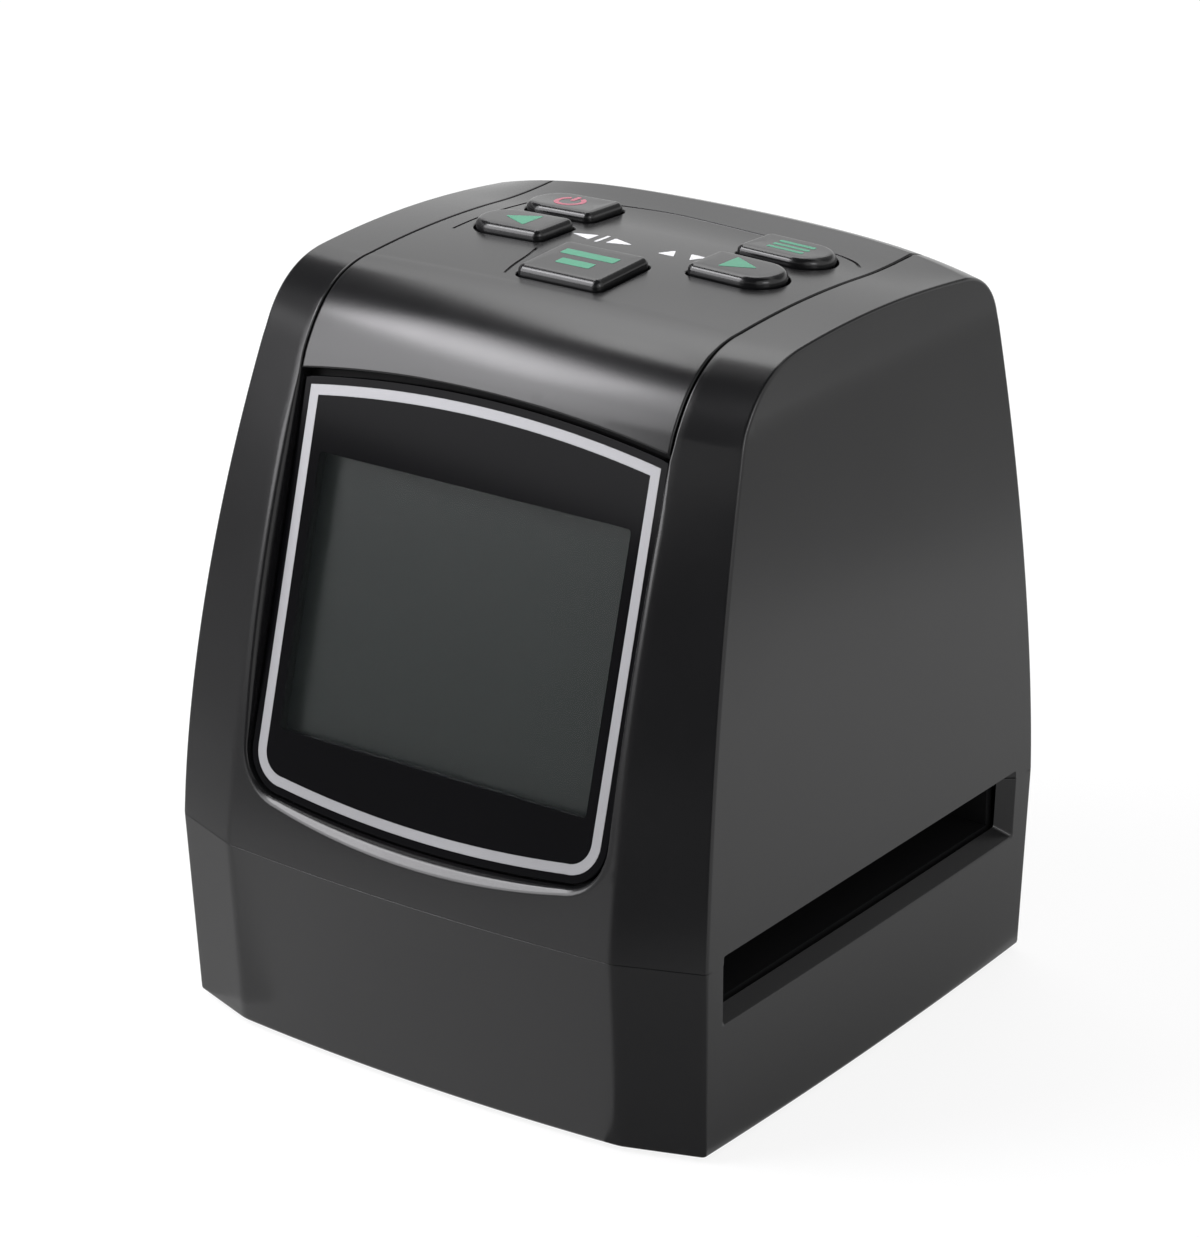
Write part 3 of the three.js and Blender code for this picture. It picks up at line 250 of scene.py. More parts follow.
FRONT_MEET = meeting(lean_front)
REAR_MEET = meeting(lean_rear)
LEAN_TOP = FRONT_MEET[1] - STAND_OFF - FRONT_CORNER
TAPER_TOP = FRONT_MEET[1] - STAND_OFF - TAPER_DROP


def taper(h):
    """Share of the way from the seam to the top of the sides' taper."""
    return np.clip((h - SEAM_HEIGHT) / (TAPER_TOP - SEAM_HEIGHT), 0, 1)


def side_half(h):
    low = lerp(BASE_WIDTH, SEAM_WIDTH, h / SEAM_HEIGHT) / 2
    return np.where(h < SEAM_HEIGHT, low, lerp(SEAM_WIDTH, TOP_WIDTH, taper(h) ** TAPER_POWER) / 2)


def facet_half(h):
    return lerp(FACET_BASE, FACET_TOP, taper(h)) / 2


def front_step(h):
    low = lerp(STEP_BASE, STEP_SEAM, h / SEAM_HEIGHT)
    return np.where(h < SEAM_HEIGHT, low, lerp(STEP_SEAM, STEP_TOP, taper(h)))


def side_profile(samples=400):
    """Columns y, z, share of the top's form, the middle's rise there and its lift at the rear, one row
    per sample."""
    t = np.linspace(0, 1, samples)[:, None]
    rest = np.zeros_like(t)

    def rows(yz, share, rise, lift=0):
        return np.hstack([yz, share + rest, rise + rest, lift + rest])[1:]

    def upright(edge, h):
        return np.hstack([edge(h), STAND_OFF + h])

    h_low, h_lean = t * SEAM_HEIGHT, lerp(SEAM_HEIGHT, LEAN_TOP, t)
    rear_top = REAR_MEET[1] - STAND_OFF - REAR_CORNER
    h_rear = lerp(rear_top, SEAM_HEIGHT, t)
    front_base = np.hstack([lean_front(SEAM_HEIGHT) + FRONT_DRAFT * (1 - t), STAND_OFF + h_low])
    rear_base = np.hstack([lean_rear(SEAM_HEIGHT) - REAR_DRAFT * t, SEAM_Z - h_low])
    y_top = lerp(FRONT_MEET[0] + FRONT_CORNER, REAR_MEET[0] - REAR_CORNER, t)
    top = np.hstack([y_top, arch(y_top)])
    lift = REAR_LIFT * np.clip((y_top - LIFT_START) / (y_top[-1] - LIFT_START), 0, 1) ** 2
    front_lean, rear_lean = upright(lean_front, h_lean), upright(lean_rear, h_rear)
    parts = [
        np.hstack([front_base, rest, rest + CROWN, rest])[:1],
        rows(front_base, 0, CROWN),
        rows(front_lean, 0, CROWN),
        rows(bezier(front_lean[-1], FRONT_MEET, top[0], t), t, CROWN),
        rows(top, 1, CROWN, lift),
        rows(bezier(top[-1], REAR_MEET, rear_lean[0], t), 1, lerp(CROWN, REAR_BOW, t), lerp(lift[-1], 0, t)),
        rows(rear_lean, 1, REAR_BOW),
        rows(rear_base, 1, REAR_BOW),
    ]
    marks = np.cumsum([len(part) for part in parts]) - 1
    return np.vstack(parts), marks


ROWS, MARKS = side_profile()
STEPS = np.hypot(*np.diff(ROWS[:, :2], axis=0).T)
ARC = np.concatenate([[0], np.cumsum(STEPS)])
S_SEAM, S_LEAN_TOP, S_TOP, S_TOP_END, S_REAR, S_SEAM_REAR, S_END = ARC[MARKS[1:]]
TANGENT = unit(np.gradient(ROWS[:, :2], ARC, axis=0))
NORMAL = np.stack([-TANGENT[:, 1], TANGENT[:, 0]], -1)
SOFTEN = 4                       # the rise points along the normal averaged over this much each way


def soft_normals():
    total = np.vstack([[0, 0], np.cumsum((NORMAL[1:] + NORMAL[:-1]) / 2 * STEPS[:, None], axis=0)])
    low, high = np.clip(ARC - SOFTEN, 0, S_END), np.clip(ARC + SOFTEN, 0, S_END)
    return unit(np.stack([np.interp(high, ARC, c) - np.interp(low, ARC, c) for c in total.T], -1))


SOFT = soft_normals()


def at(column, s):
    return np.interp(s, ARC, column)


def rise(x, s):
    """How far the surface stands before the side edge."""
    h = at(ROWS[:, 1], s) - STAND_OFF
    facet, half, step, ax = facet_half(h), side_half(h), front_step(h), np.abs(x)

    def bowed(v):
        return step + FRONT_BOW * (1 - (v / facet) ** 2)

    def slanted(v):
        return step * (half - v) / (half - facet)

    t = np.clip((ax - facet + CREASE) / (2 * CREASE), 0, 1)
    soft = bezier(bowed(facet - CREASE), step, slanted(facet + CREASE), t)
    front = np.where(t <= 0, bowed(ax), np.where(t >= 1, slanted(ax), soft))
    share = at(ROWS[:, 2], s)
    bulge = at(ROWS[:, 3], s) * (1 - (ax / half) ** 2) + at(ROWS[:, 4], s) * (1 - (ax / half) ** 4)
    return lerp(front, bulge, share)


def skin(x, s, inset=0):
    """Points of the casing's front, top and rear, moved inwards by inset."""
    x, s = np.broadcast_arrays(np.asarray(x, float), np.asarray(s, float))
    lift = rise(x, s) - inset
    return np.stack([
        x, at(ROWS[:, 0], s) + at(SOFT[:, 0], s) * lift, at(ROWS[:, 1], s) + at(SOFT[:, 1], s) * lift], -1)


def normal_of(surface, a, b, step):
    along_a = surface(a + step, b) - surface(a - step, b)
    along_b = surface(a, b + step) - surface(a, b - step)
    return unit(np.cross(along_a, along_b))


def skin_normal(x, s):
    return normal_of(skin, x, s, 0.02)


def s_where(x, value, axis, low, high, inset=0, falling=False):
    """Place s between low and high where the skin's coordinate along an axis passes a value."""
    x, value = np.broadcast_arrays(np.asarray(x, float), np.asarray(value, float))
    sign = -1 if falling else 1
    return bisect(lambda s: sign * skin(x, s, inset)[..., axis] < sign * value,
                  np.full_like(x, low), np.full_like(x, high))


def s_at_front(x, z, inset=0, high=S_TOP):
    return s_where(x, z, 2, 0, high, inset)


def s_at_rear(x, z, inset=0, low=S_TOP_END):
    return s_where(x, z, 2, low, S_END, inset, falling=True)


def s_at_top(x, y):
    return s_where(x, y, 1, S_LEAN_TOP, S_REAR)


def side_edge(s, inset=0):
    """The casing's edge between its skin and its right side wall."""
    y, z = at(ROWS[:, 0], s), at(ROWS[:, 1], s)
    half = side_half(z - STAND_OFF) - inset
    return np.stack([half, y - at(SOFT[:, 0], s) * inset, z - at(SOFT[:, 1], s) * inset], -1)


def side_point(yz, inset=0):
    """Points (y, z) set on the right side wall."""
    yz = np.asarray(yz, float)
    return np.column_stack([side_half(yz[:, 1] - STAND_OFF) - inset, yz])


def side_normal(yz, step=0.5):
    yz = np.asarray(yz, float)
    slope = (side_half(yz[:, 1] + step - STAND_OFF) - side_half(yz[:, 1] - step - STAND_OFF)) / (2 * step)
    return unit(np.column_stack([np.ones(len(yz)), np.zeros(len(yz)), -slope]))


# Flat outlines and their filling
def samples(low, high, step):
    return np.linspace(low, high, max(int(math.ceil(abs(high - low) / step)), 1) + 1)


def path(points, step):
    """Points along straight pieces, no further apart than step, without the last one."""
    out = []
    for a, b in zip(points, points[1:]):
        count = max(int(math.ceil(math.dist(a, b) / step)), 1)
        out += [[lerp(a[0], b[0], i / count), lerp(a[1], b[1], i / count)] for i in range(count)]
    return out


def arc(x, y, radius, start, end, steps):
    angles = np.radians(np.linspace(start, end, steps + 1))
    return [[x + radius * math.cos(a), y + radius * math.sin(a)] for a in angles]


def rounded_corner(before, corner, after, radius, steps=4):
    """A corner of a path turned into an arc's worth of points."""
    before, corner, after = (np.array(p, float) for p in (before, corner, after))
    u, v = unit(before - corner), unit(after - corner)
    reach = radius / math.tan(math.acos(np.clip(u @ v, -1, 1)) / 2)
    a, c = corner + u * reach, corner + v * reach
    return [list(bezier(a, corner, c, t)) for t in np.linspace(0, 1, steps + 1)]


def rounded_box(x0, x1, y0, y1, radii, steps=6):
    """A rectangle with its own radius at each corner, from the lower left one on."""
    a, b, c, d = radii
    points = (arc(x0 + a, y0 + a, a, 180, 270, steps) + arc(x1 - b, y0 + b, b, 270, 360, steps)
              + arc(x1 - c, y1 - c, c, 0, 90, steps) + arc(x0 + d, y1 - d, d, 90, 180, steps))
    return [p for p, q in zip(points, points[1:] + points[:1]) if math.dist(p, q) > SAME]


def offset(loop, amount, closed=True):
    """Each point of a path moved to its right side by amount, mitred; right is outwards of an
    anticlockwise loop."""
    loop = np.asarray(loop, float)
    ahead, behind = np.roll(loop, -1, 0) - loop, loop - np.roll(loop, 1, 0)
    if not closed:
        ahead[-1], behind[0] = behind[-1], ahead[0]
    a, b = (unit(np.stack([v[:, 1], -v[:, 0]], -1)) for v in (ahead, behind))
    share = 1 + np.sum(a * b, -1, keepdims=True)
    return loop + (a + b) / share * np.reshape(amount, (-1, 1))


def inside(points, loops):
    odd = np.zeros(len(points), bool)
    x, y = points[:, :1], points[:, 1:2]
    for loop in loops:
        a, b = np.asarray(loop, float), np.roll(np.asarray(loop, float), -1, 0)
        crossing = (a[:, 1] > y) != (b[:, 1] > y)
        with np.errstate(divide="ignore", invalid="ignore"):
            where = a[:, 0] + (y - a[:, 1]) * (b[:, 0] - a[:, 0]) / (b[:, 1] - a[:, 1])
        odd ^= (np.sum(crossing & (x < where), axis=1) % 2).astype(bool)
    return odd


def clearance(points, loops):
    least = np.full(len(points), np.inf)
    for loop in loops:
        a, b = np.asarray(loop, float), np.roll(np.asarray(loop, float), -1, 0)
        along = b - a
        t = np.einsum("pij,ij->pi", points[:, None] - a, along) / np.sum(along * along, -1)
        near = a + np.clip(t, 0, 1)[..., None] * along
        least = np.minimum(least, np.min(np.linalg.norm(points[:, None] - near, axis=-1), axis=1))
    return least


def fill(loops, xs, ys, keep_off):
    """Points and triangles inside the first loop and outside the others, with the points of a grid
    that lie further than keep_off from every loop."""
    edges, start = [], 0
    for loop in loops:
        edges += [(start + i, start + (i + 1) % len(loop)) for i in range(len(loop))]
        start += len(loop)
    grid = np.stack(np.meshgrid(xs, ys), -1).reshape(-1, 2)
    grid = grid[inside(grid, loops)]
    grid = grid[clearance(grid, loops) > keep_off]
    points = np.vstack([*(np.asarray(loop, float) for loop in loops), grid])
    found, _, faces, origin, _, _ = delaunay_2d_cdt([Vector(p) for p in points], edges, [], 0, SAME / 10)
    if len(found) != len(points):
        raise ValueError("an outline touches itself")
    faces = np.array([[origin[v][0] for v in f] for f in faces])
    return points, faces[inside(points[faces].mean(axis=1), loops)]


def grid_over(loop, step):
    low, high = loop.min(0), loop.max(0)
    return samples(low[0], high[0], step), samples(low[1], high[1], step)


def split(ids, loops):
    """The ids of all points of some loops in a row, loop by loop."""
    cuts = np.cumsum([0] + [len(loop) for loop in loops])
    return [ids[a:b] for a, b in zip(cuts, cuts[1:])]


def mirrored(loop):
    return (loop * (-1, 1))[::-1]


def counter(loop):
    """The loop, anticlockwise."""
    x, y = np.asarray(loop, float).T
    area = np.sum(x * np.roll(y, -1) - np.roll(x, -1) * y)
    return np.asarray(loop, float)[::-1] if area < 0 else np.asarray(loop, float)


def circle(x, y, radius, steps=36):
    return np.array(arc(x, y, radius, 0, 360, steps)[:-1])


def flat_ring(loop, z):
    return np.column_stack([loop, np.full(len(loop), z)])


# Objects and closed meshes
def add_object(name, data):
    piece = bpy.data.objects.new(name, data)
    bpy.context.scene.collection.objects.link(piece)
    return piece


class Solid:
    """A closed mesh in millimetres. Faces of one group are shaded as one smooth surface."""

    def __init__(self):
        self.points, self.faces, self.groups, self.known = [], [], [], {}

    def add(self, points, normals=None):
        start = len(self.points)
        self.points += [tuple(p) for p in points]
        if normals is not None:
            self.known.update({start + i: tuple(n) for i, n in enumerate(normals)})
        return list(range(start, start + len(points)))

    def places(self, ids):
        return np.array([self.points[i] for i in ids])

    def level(self, ids, z):
        for i in ids:
            self.points[i] = (*self.points[i][:2], z)

    def face(self, corners, group):
        kept = [c for c, d in zip(corners, corners[1:] + corners[:1]) if c != d]
        if len(set(kept)) >= 3:
            self.faces.append(tuple(kept))
            self.groups.append(group)

    def bridge(self, one, other, group, closed=True):
        last = len(one) if closed else len(one) - 1
        for i in range(last):
            j = (i + 1) % len(one)
            self.face([one[i], one[j], other[j], other[i]], group)

    def sheet(self, points, faces, group, normals=None, joined=()):
        """Points and the faces between them; the first points are the joined ones."""
        ids = self.add(points, normals)
        ids[:len(joined)] = joined
        for f in faces:
            self.face([ids[c] for c in f], group)
        return ids

    def skin(self, loops, columns, levels, keep_off, inset=0):
        """The casing's skin between loops of (x, s) places. Gives each loop's ids."""
        points, faces = fill(loops, columns, levels, keep_off)
        normals = None if inset else skin_normal(*points.T)
        return split(self.sheet(skin(*points.T, inset), faces, 2 if inset else 0, normals), loops)

    def blend(self, ring, edge, end, rows=RIM_ROWS):
        """Rounds an edge: from ring, on the surface, over the sharp edge's points to the end's, in the
        wall. Gives the last ring."""
        start = self.places(ring)
        for i in range(1, rows + 1):
            ids = self.add(bezier(start, edge, end, i / rows))
            self.bridge(ring, ids, 0)
            ring = ids
        return ring

    def rounding(self, ring, edge, wall_way, radius, rows=RIM_ROWS):
        return self.blend(ring, edge, edge + wall_way * np.reshape(radius, (-1, 1)), rows)

    def rim(self, ring, edge, inner, radius, rows=RIM_ROWS):
        """A rounded edge and the wall that runs on from it to the inside."""
        way = unit(self.places(inner) - edge)
        self.bridge(self.rounding(ring, edge, way, radius, rows), inner, 1)

    def blind_hole(self, ring, edge, wall_way, radius, depth):
        floor = self.add(edge + wall_way * depth)
        self.bridge(self.rounding(ring, edge, wall_way, radius), floor, 1)
        return floor

    def build(self, name, material):
        mesh = bpy.data.meshes.new(name)
        mesh.from_pydata([tuple(c * MM for c in p) for p in self.points], [], self.faces)
        work = bmesh.new()
        work.from_mesh(mesh)
        bmesh.ops.recalc_face_normals(work, faces=work.faces)
        if work.calc_volume(signed=True) < 0:
            bmesh.ops.reverse_faces(work, faces=work.faces)
        work.to_mesh(mesh)
        work.free()
        self.shade(mesh)
        mesh.materials.append(material)
        return add_object(name, mesh)

    def shade(self, mesh):
        """Corner normals: known ones on group 0, else the mean over the group, by area squared."""
        mesh.polygons.foreach_set("use_smooth", [True] * len(mesh.polygons))
        sums = {}
        for poly, group in zip(mesh.polygons, self.groups):
            pull = poly.normal * (poly.area / MM ** 2) ** 2
            for v in poly.vertices:
                sums[v, group] = sums.get((v, group), Vector()) + pull
        corners = []
        for poly, group in zip(mesh.polygons, self.groups):
            for v in poly.vertices:
                known = self.known.get(v) if group == 0 else None
                normal = Vector(known) if known else sums[v, group].normalized()
                corners.append(normal if normal.length > 0 else poly.normal)
        mesh.normals_split_custom_set(corners)


# Grids that the skin is filled with
def creased(columns, half, steps, room):
    """Columns with fine ones in steps from the front's edges, which lie half off the middle, and with
    no other ones nearer to them than room."""
    edges = (-half, half)
    plain = [x for x in columns if min(abs(x - e) for e in edges) > room]
    return np.array(sorted(plain + [e + d for e in edges for d in steps]))


def skin_columns(half, step=SKIN_STEP):
    steps = np.arange(-CREASE_REACH, CREASE_REACH + 0.01, 0.4)
    return creased(samples(-half, half, step), (FACET_BASE + FACET_TOP) / 4, steps, CREASE_REACH + 0.6)


def skin_levels(low=S_SEAM, high=S_SEAM_REAR, step=SKIN_STEP):
    ends = [low, S_LEAN_TOP - 1, S_TOP + 1, S_TOP_END - 1, S_REAR + 1, high]
    sizes = [step, 0.8, step, 0.5, step]
    out = []
    for a, b, size in zip(ends, ends[1:], sizes):
        a, b = np.clip([a, b], low, high)
        if b > a:
            out += list(samples(a, b, size)[:-1])
    return np.array(out + [high])


# Window plane: u across, v up the tilted face from the silver line's top corners, w out of it
OUT = np.array([0.0, -math.cos(TILT), math.sin(TILT)])
UP = np.array([0.0, math.sin(TILT), math.cos(TILT)])
ACROSS = np.array([1.0, 0.0, 0.0])
DISPLAY = np.array([0.0, DISPLAY_Y, DISPLAY_TOP_Z])


def on_display(points):
    points = np.asarray(points, float)
    return DISPLAY + points[:, :1] * ACROSS + points[:, 1:2] * UP + points[:, 2:] * OUT


def lens_top(u):
    return LENS_ABOVE - u * u / (2 * LENS_ARC)


def lens_bottom(u):
    return u * u / (2 * LENS_ARC) - LENS_BELOW


def lens_sides(margin, steps=22, corner_steps=10, floor_steps=34):
    """The lens's edge down the left side, along the bottom and up the right side."""
    half, radius = LENS_HALF + margin, LENS_CORNER + margin
    low = lens_bottom(half - radius) - margin + radius
    top = lens_top(half) + margin
    left = [[-half, v] for v in np.linspace(top, low, steps + 1)[:-1]]
    turn = arc(-half + radius, low, radius, 180, 270, corner_steps)
    floor = [[u, lens_bottom(u) - margin]
             for u in np.linspace(radius - half, half - radius, floor_steps + 1)[1:-1]]
    back = arc(half - radius, low, radius, 270, 360, corner_steps)
    right = [[-u, v] for u, v in left[::-1]]
    return left + turn + floor + back + right


def lens_arch(margin, steps=40):
    half = LENS_HALF + margin
    return [[u, lens_top(u) + margin] for u in np.linspace(half, -half, steps + 1)[1:-1]]


def lens_outline(margin):
    return lens_sides(margin) + lens_arch(margin)


def flared(uv, w):
    """The pocket's wall at height w over the lens's plane."""
    u, v = uv[:, 0], uv[:, 1]
    fall = LIP_SLOPE * lip_share(uv) * w
    wide = 1 + POCKET_DRAFT / LENS_HALF * w / POCKET_REACH
    return on_display(np.column_stack([u * wide, v - fall, w]))


def lip_share(uv):
    """1 along the lip below the window, fading to 0 at its ends, and 0 elsewhere."""
    share = np.maximum(1 - (np.abs(uv[:, 0]) / LENS_HALF) ** LIP_POWER, 0)
    return np.where(uv[:, 1] < -LENS_BELOW / 2, share, 0)


def pocket_mouth():
    """The pocket's edge at the lens's plane, and where its wall comes out of the skin."""
    uv = np.array(lens_sides(GAP))

    def under(w):
        p = flared(uv, w)
        return p[:, 1] > skin(p[:, 0], s_at_front(p[:, 0], p[:, 2]))[:, 1]

    w = bisect(under, np.zeros(len(uv)), np.full(len(uv), POCKET_REACH), 30)
    mouth = flared(uv, w)
    return uv, np.column_stack([mouth[:, 0], s_at_front(mouth[:, 0], mouth[:, 2])])


def cover_front(margin, xs):
    """Where the cover's lower edge lies on the skin, for places across."""
    line = lens_top(xs) + COVER_EDGE - margin

    def below(s):
        return (skin(xs, s) - DISPLAY) @ UP < line

    return bisect(below, np.zeros_like(xs), np.full_like(xs, S_TOP))


# Materials
class Tree:
    """The shader nodes of a material or a world."""

    def __init__(self, owner, bare=False):
        owner.use_nodes = True
        self.nodes, self.links = owner.node_tree.nodes, owner.node_tree.links
        if bare:
            self.nodes.clear()

    def feed(self, node, inputs):
        """Sets a node's inputs, each to a value or from another node's output."""
        for key, source in inputs.items():
            if isinstance(source, bpy.types.NodeSocket):
                self.links.new(source, node.inputs[key])
            else:
                node.inputs[key].default_value = source

    def add(self, kind, output, inputs, operation=None):
        """A new node; gives its output."""
        node = self.nodes.new(f"ShaderNode{kind}")
        if operation:
            node.operation = operation
        self.feed(node, inputs)
        return node.outputs[output]

    def finish(self, surface):
        self.links.new(surface, self.nodes.new("ShaderNodeOutputMaterial").inputs["Surface"])

    def direct_rays(self):
        """1 for camera, glossy and transmission rays, else 0."""
        rays = self.nodes.new("ShaderNodeLightPath").outputs
        largest = rays["Is Camera Ray"]
        for other in ("Is Glossy Ray", "Is Transmission Ray"):
            largest = self.add("Math", "Value", {0: largest, 1: rays[other]}, "MAXIMUM")
        return largest


CLOUD_SCALE = 45
CLOUD_SPREAD = 0.12              # of the colour's strength
GRAIN = 0.02                     # height of the fine grain


def material(name, colour, rough, metal=0.0, scale=900.0, bump=0.05, specular=0.5, rough_spread=0.06):
    """Moulded or printed surface: fine grain, slight cloudiness of colour and gloss."""
    mat = bpy.data.materials.new(name)
    tree = Tree(mat)
    coords = tree.add("TexCoord", "Object", {})
    cloud = tree.add("TexNoise", "Fac", {"Scale": CLOUD_SCALE, "Detail": 4, "Vector": coords})

    def around(middle, spread):
        ends = {"To Min": middle - spread, "To Max": middle + spread}
        return tree.add("MapRange", "Result", {**ends, "Value": cloud})

    tint = tree.add("VectorMath", "Vector", {0: colour, "Scale": around(1, CLOUD_SPREAD)}, "SCALE")
    looks = {"Metallic": metal, "Specular IOR Level": specular, "Base Color": tint,
             "Roughness": around(rough, rough_spread)}
    if bump:
        fine = tree.add("TexNoise", "Fac", {"Scale": scale, "Detail": 3, "Vector": coords})
        looks["Normal"] = tree.add(
            "Bump", "Normal", {"Strength": bump, "Distance": GRAIN * MM, "Height": fine})
    tree.feed(tree.nodes["Principled BSDF"], looks)
    return mat


CASING = material("casing_plastic", (0.006, 0.006, 0.0065), 0.23, specular=0.42, bump=0.25, scale=2600)
BUTTON = material("button_plastic", (0.006, 0.006, 0.0065), 0.22, specular=0.45, bump=0.2, scale=2600)
LENS_INK = material("window_ink", (0.002, 0.002, 0.0025), 0.08, bump=0.0, specular=0.045, rough_spread=0.01)
SILVER = material("silver_print", (0.27, 0.27, 0.28), 0.38, metal=0.6, bump=0.15, scale=3000)
SCREEN = material("screen_glass", (0.0295, 0.0365, 0.034), 0.3, bump=0.0, rough_spread=0.03)
INNER = material("inner_plastic", (0.006, 0.006, 0.0065), 0.6, specular=0.2, bump=0.2)
RUBBER = material("foot_rubber", (0.02, 0.02, 0.02), 0.8, bump=0.4, scale=1500)
STEEL = material("screw_steel", (0.5, 0.5, 0.5), 0.35, metal=1.0, bump=0.2)
BOARD = material("circuit_board", (0.02, 0.12, 0.05), 0.45, bump=0.15)
CHIP = material("chip_resin", (0.015, 0.015, 0.016), 0.5, bump=0.2)
GREEN = material("green_print", (0.03, 0.25, 0.14), 0.45, specular=0.4, bump=0.1)
RED = material("red_print", (0.42, 0.08, 0.13), 0.45, bump=0.1)
WHITE = material("white_print", (0.75, 0.75, 0.77), 0.45, bump=0.1)


def clear_material():
    """Thin clear plate: what lies behind shows, with a plain gloss over it."""
    mat = bpy.data.materials.new("window_clear")
    tree = Tree(mat)
    tree.feed(tree.nodes["Principled BSDF"], {
        "Base Color": (0.01, 0.012, 0.012, 1), "Roughness": 0.06, "Alpha": 0.25, "Specular IOR Level": 0.12})
    return mat


CLEAR = clear_material()


# Upper shell and base shell: skin, side walls, the fillets between them and the rims
def fillet_rows(s, side):
    """Rows of points from the skin over the side's edge to the side wall, for places s."""
    edge = side_edge(s)
    on_skin = skin(edge[:, 0] - SIDE_FILLET, s)
    normal = np.stack([at(NORMAL[:, 0], s), at(NORMAL[:, 1], s)], -1)
    on_side = side_point(edge[:, 1:] - SIDE_FILLET * normal)
    turn = np.array([side, 1.0, 1.0])
    return [bezier(on_skin, edge, on_side, t) * turn for t in np.linspace(0, 1, FILLET_ROWS + 1)]


def level_row(s_at, z, half):
    """A level line across the skin, as (x, s), without its ends."""
    xs = creased(samples(-half, half, SKIN_STEP)[1:-1], FACET_BASE / 2, CREASE_STEPS, CREASE_REACH)
    return np.column_stack([xs, s_at(xs, z)])


def closed_behind(front, half, drop, room, step):
    """An outline on the skin: its front part given, then back along both sides, from room behind its
    ends on, and round the rear."""
    xs = samples(half, -half, step)
    rear = np.column_stack([xs, s_at_rear(xs, CREST_Z - drop)])
    climb = [v for v in skin_levels(step=CLIMB_STEP) if front[-1, 1] + room < v < rear[0, 1] - REAR_ROOM]
    up = np.array([[half, v] for v in climb])
    return np.vstack([front, up, rear, mirrored(up)])


def socket_loops():
    loops = []
    for node in ("card_slot", "usb_socket", "video_jack"):
        low, high = (np.array(corner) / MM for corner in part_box(node))
        outline = rounded_box(low[0] - GAP, high[0] + GAP, low[2] - GAP, high[2] + GAP,
                              [SOCKET_CORNER] * 4, 4)
        points = np.array(path(outline + outline[:1], SKIN_STEP))
        loops.append(counter(np.column_stack([points[:, 0], s_at_rear(points[:, 0], points[:, 1])])))
    return loops


def softened(corners, seam_z):
    """A path with its corners rounded, less so at the seam's height."""
    out = [corners[0]]
    for before, corner, after in zip(corners, corners[1:], corners[2:]):
        out += rounded_corner(before, corner, after, SEAM_CORNER if corner[1] == seam_z else SLOT_CORNER)
    return out + [corners[-1]]


def notch_path(z, notch_z, ends):
    """A side wall's edge at z from one end to the other, with the slot's notch to notch_z."""
    a, b = (SLOT_FRONT, SLOT_REAR) if ends[0] < ends[1] else (SLOT_REAR, SLOT_FRONT)
    turned = softened([(ends[0], z), (a, z), (a, notch_z), (b, notch_z), (b, z), (ends[1], z)], z)
    return np.array(path(turned, SKIN_STEP) + [turned[-1]])


def narrowed(edge):
    """A side wall's edge with the slot's ends drawn in, as they are on its inside."""
    middle, half = (SLOT_REAR + SLOT_FRONT) / 2, (SLOT_REAR - SLOT_FRONT) / 2
    out = edge[:, 0] - middle
    reach = np.abs(out)
    share = np.where(reach < half, reach / half, np.clip(1 - (reach - half) / FLARE_FADE, 0, 1))
    return np.column_stack([edge[:, 0] - np.sign(out) * NOTCH_FLARE * share, edge[:, 1]])


def side_wall(body, boundary, edge, inner_boundary, inner_ids, side):
    """One side wall, outside and inside. boundary and edge are (y, z) paths that together go round it,
    and the edge is a rim. Gives the boundary's ids and the rim's ring, edge and inside."""
    turn = np.array([side, 1.0, 1.0])
    grid = samples(-38, 42, WALL_STEP), samples(SEAM_Z, 100, WALL_STEP)
    inset = offset(edge, -SEAM_RIM, closed=False)[1:-1]
    edge = edge[1:-1]
    parts = [boundary, inset]
    flat, faces = fill([np.vstack(parts)], *grid, keep_off=1.2)
    edge_ids, ring = split(body.sheet(side_point(flat) * turn, faces, 0, side_normal(flat) * turn), parts)
    flat, faces = fill([np.vstack([inner_boundary, narrowed(edge)])], *grid, keep_off=1.2)
    inner = body.sheet(side_point(flat, WALL) * turn, faces, 2, joined=inner_ids)
    return edge_ids, (ring, side_point(edge) * turn, split(inner, parts)[1])


def opening_rim(uv, mouth, opening):
    """Radius of the opening's rounding at each of its points, and the share of it that fits there. Its
    first points are the pocket's."""
    pocket = slice(len(uv))
    radius = np.full(len(opening), RIM)
    fits = np.ones((len(opening), 1))
    depth = np.linalg.norm(skin(*mouth.T) - flared(uv, np.zeros(len(uv))), axis=1)
    below_top = np.clip((lens_top(uv[:, 0]) - uv[:, 1]) / RIM_FADE, 0, 1)
    radius[pocket] = lerp(RIM, lerp(POCKET_RIM, LIP_RIM, lip_share(uv)), below_top)
    fits[pocket, 0] = np.minimum(1, depth * RIM_SHARE / radius[pocket])
    return radius, fits


def opening_wall(body, ring, opening, inner_ids, uv, radius, fits):
    """The pocket's wall down to the window's plane, and a plain wall beside the cover."""
    pocket = slice(len(uv))
    edge = skin(*opening.T)
    inner = body.places(inner_ids)
    foot, floor = lerp(edge, inner, 0.5), lerp(edge, inner, 0.95)
    foot[pocket] = flared(uv, np.zeros(len(uv)))
    floor[pocket] = foot[pocket] - OUT * (LENS_THICK + GAP)
    last = body.rounding(ring, edge, unit(foot - edge) * fits, radius)
    for target in (lerp(edge, foot, 0.5), foot, floor):
        ring = body.add(target)
        body.bridge(last, ring, 1)
        last = ring
    body.bridge(last, inner_ids, 2)


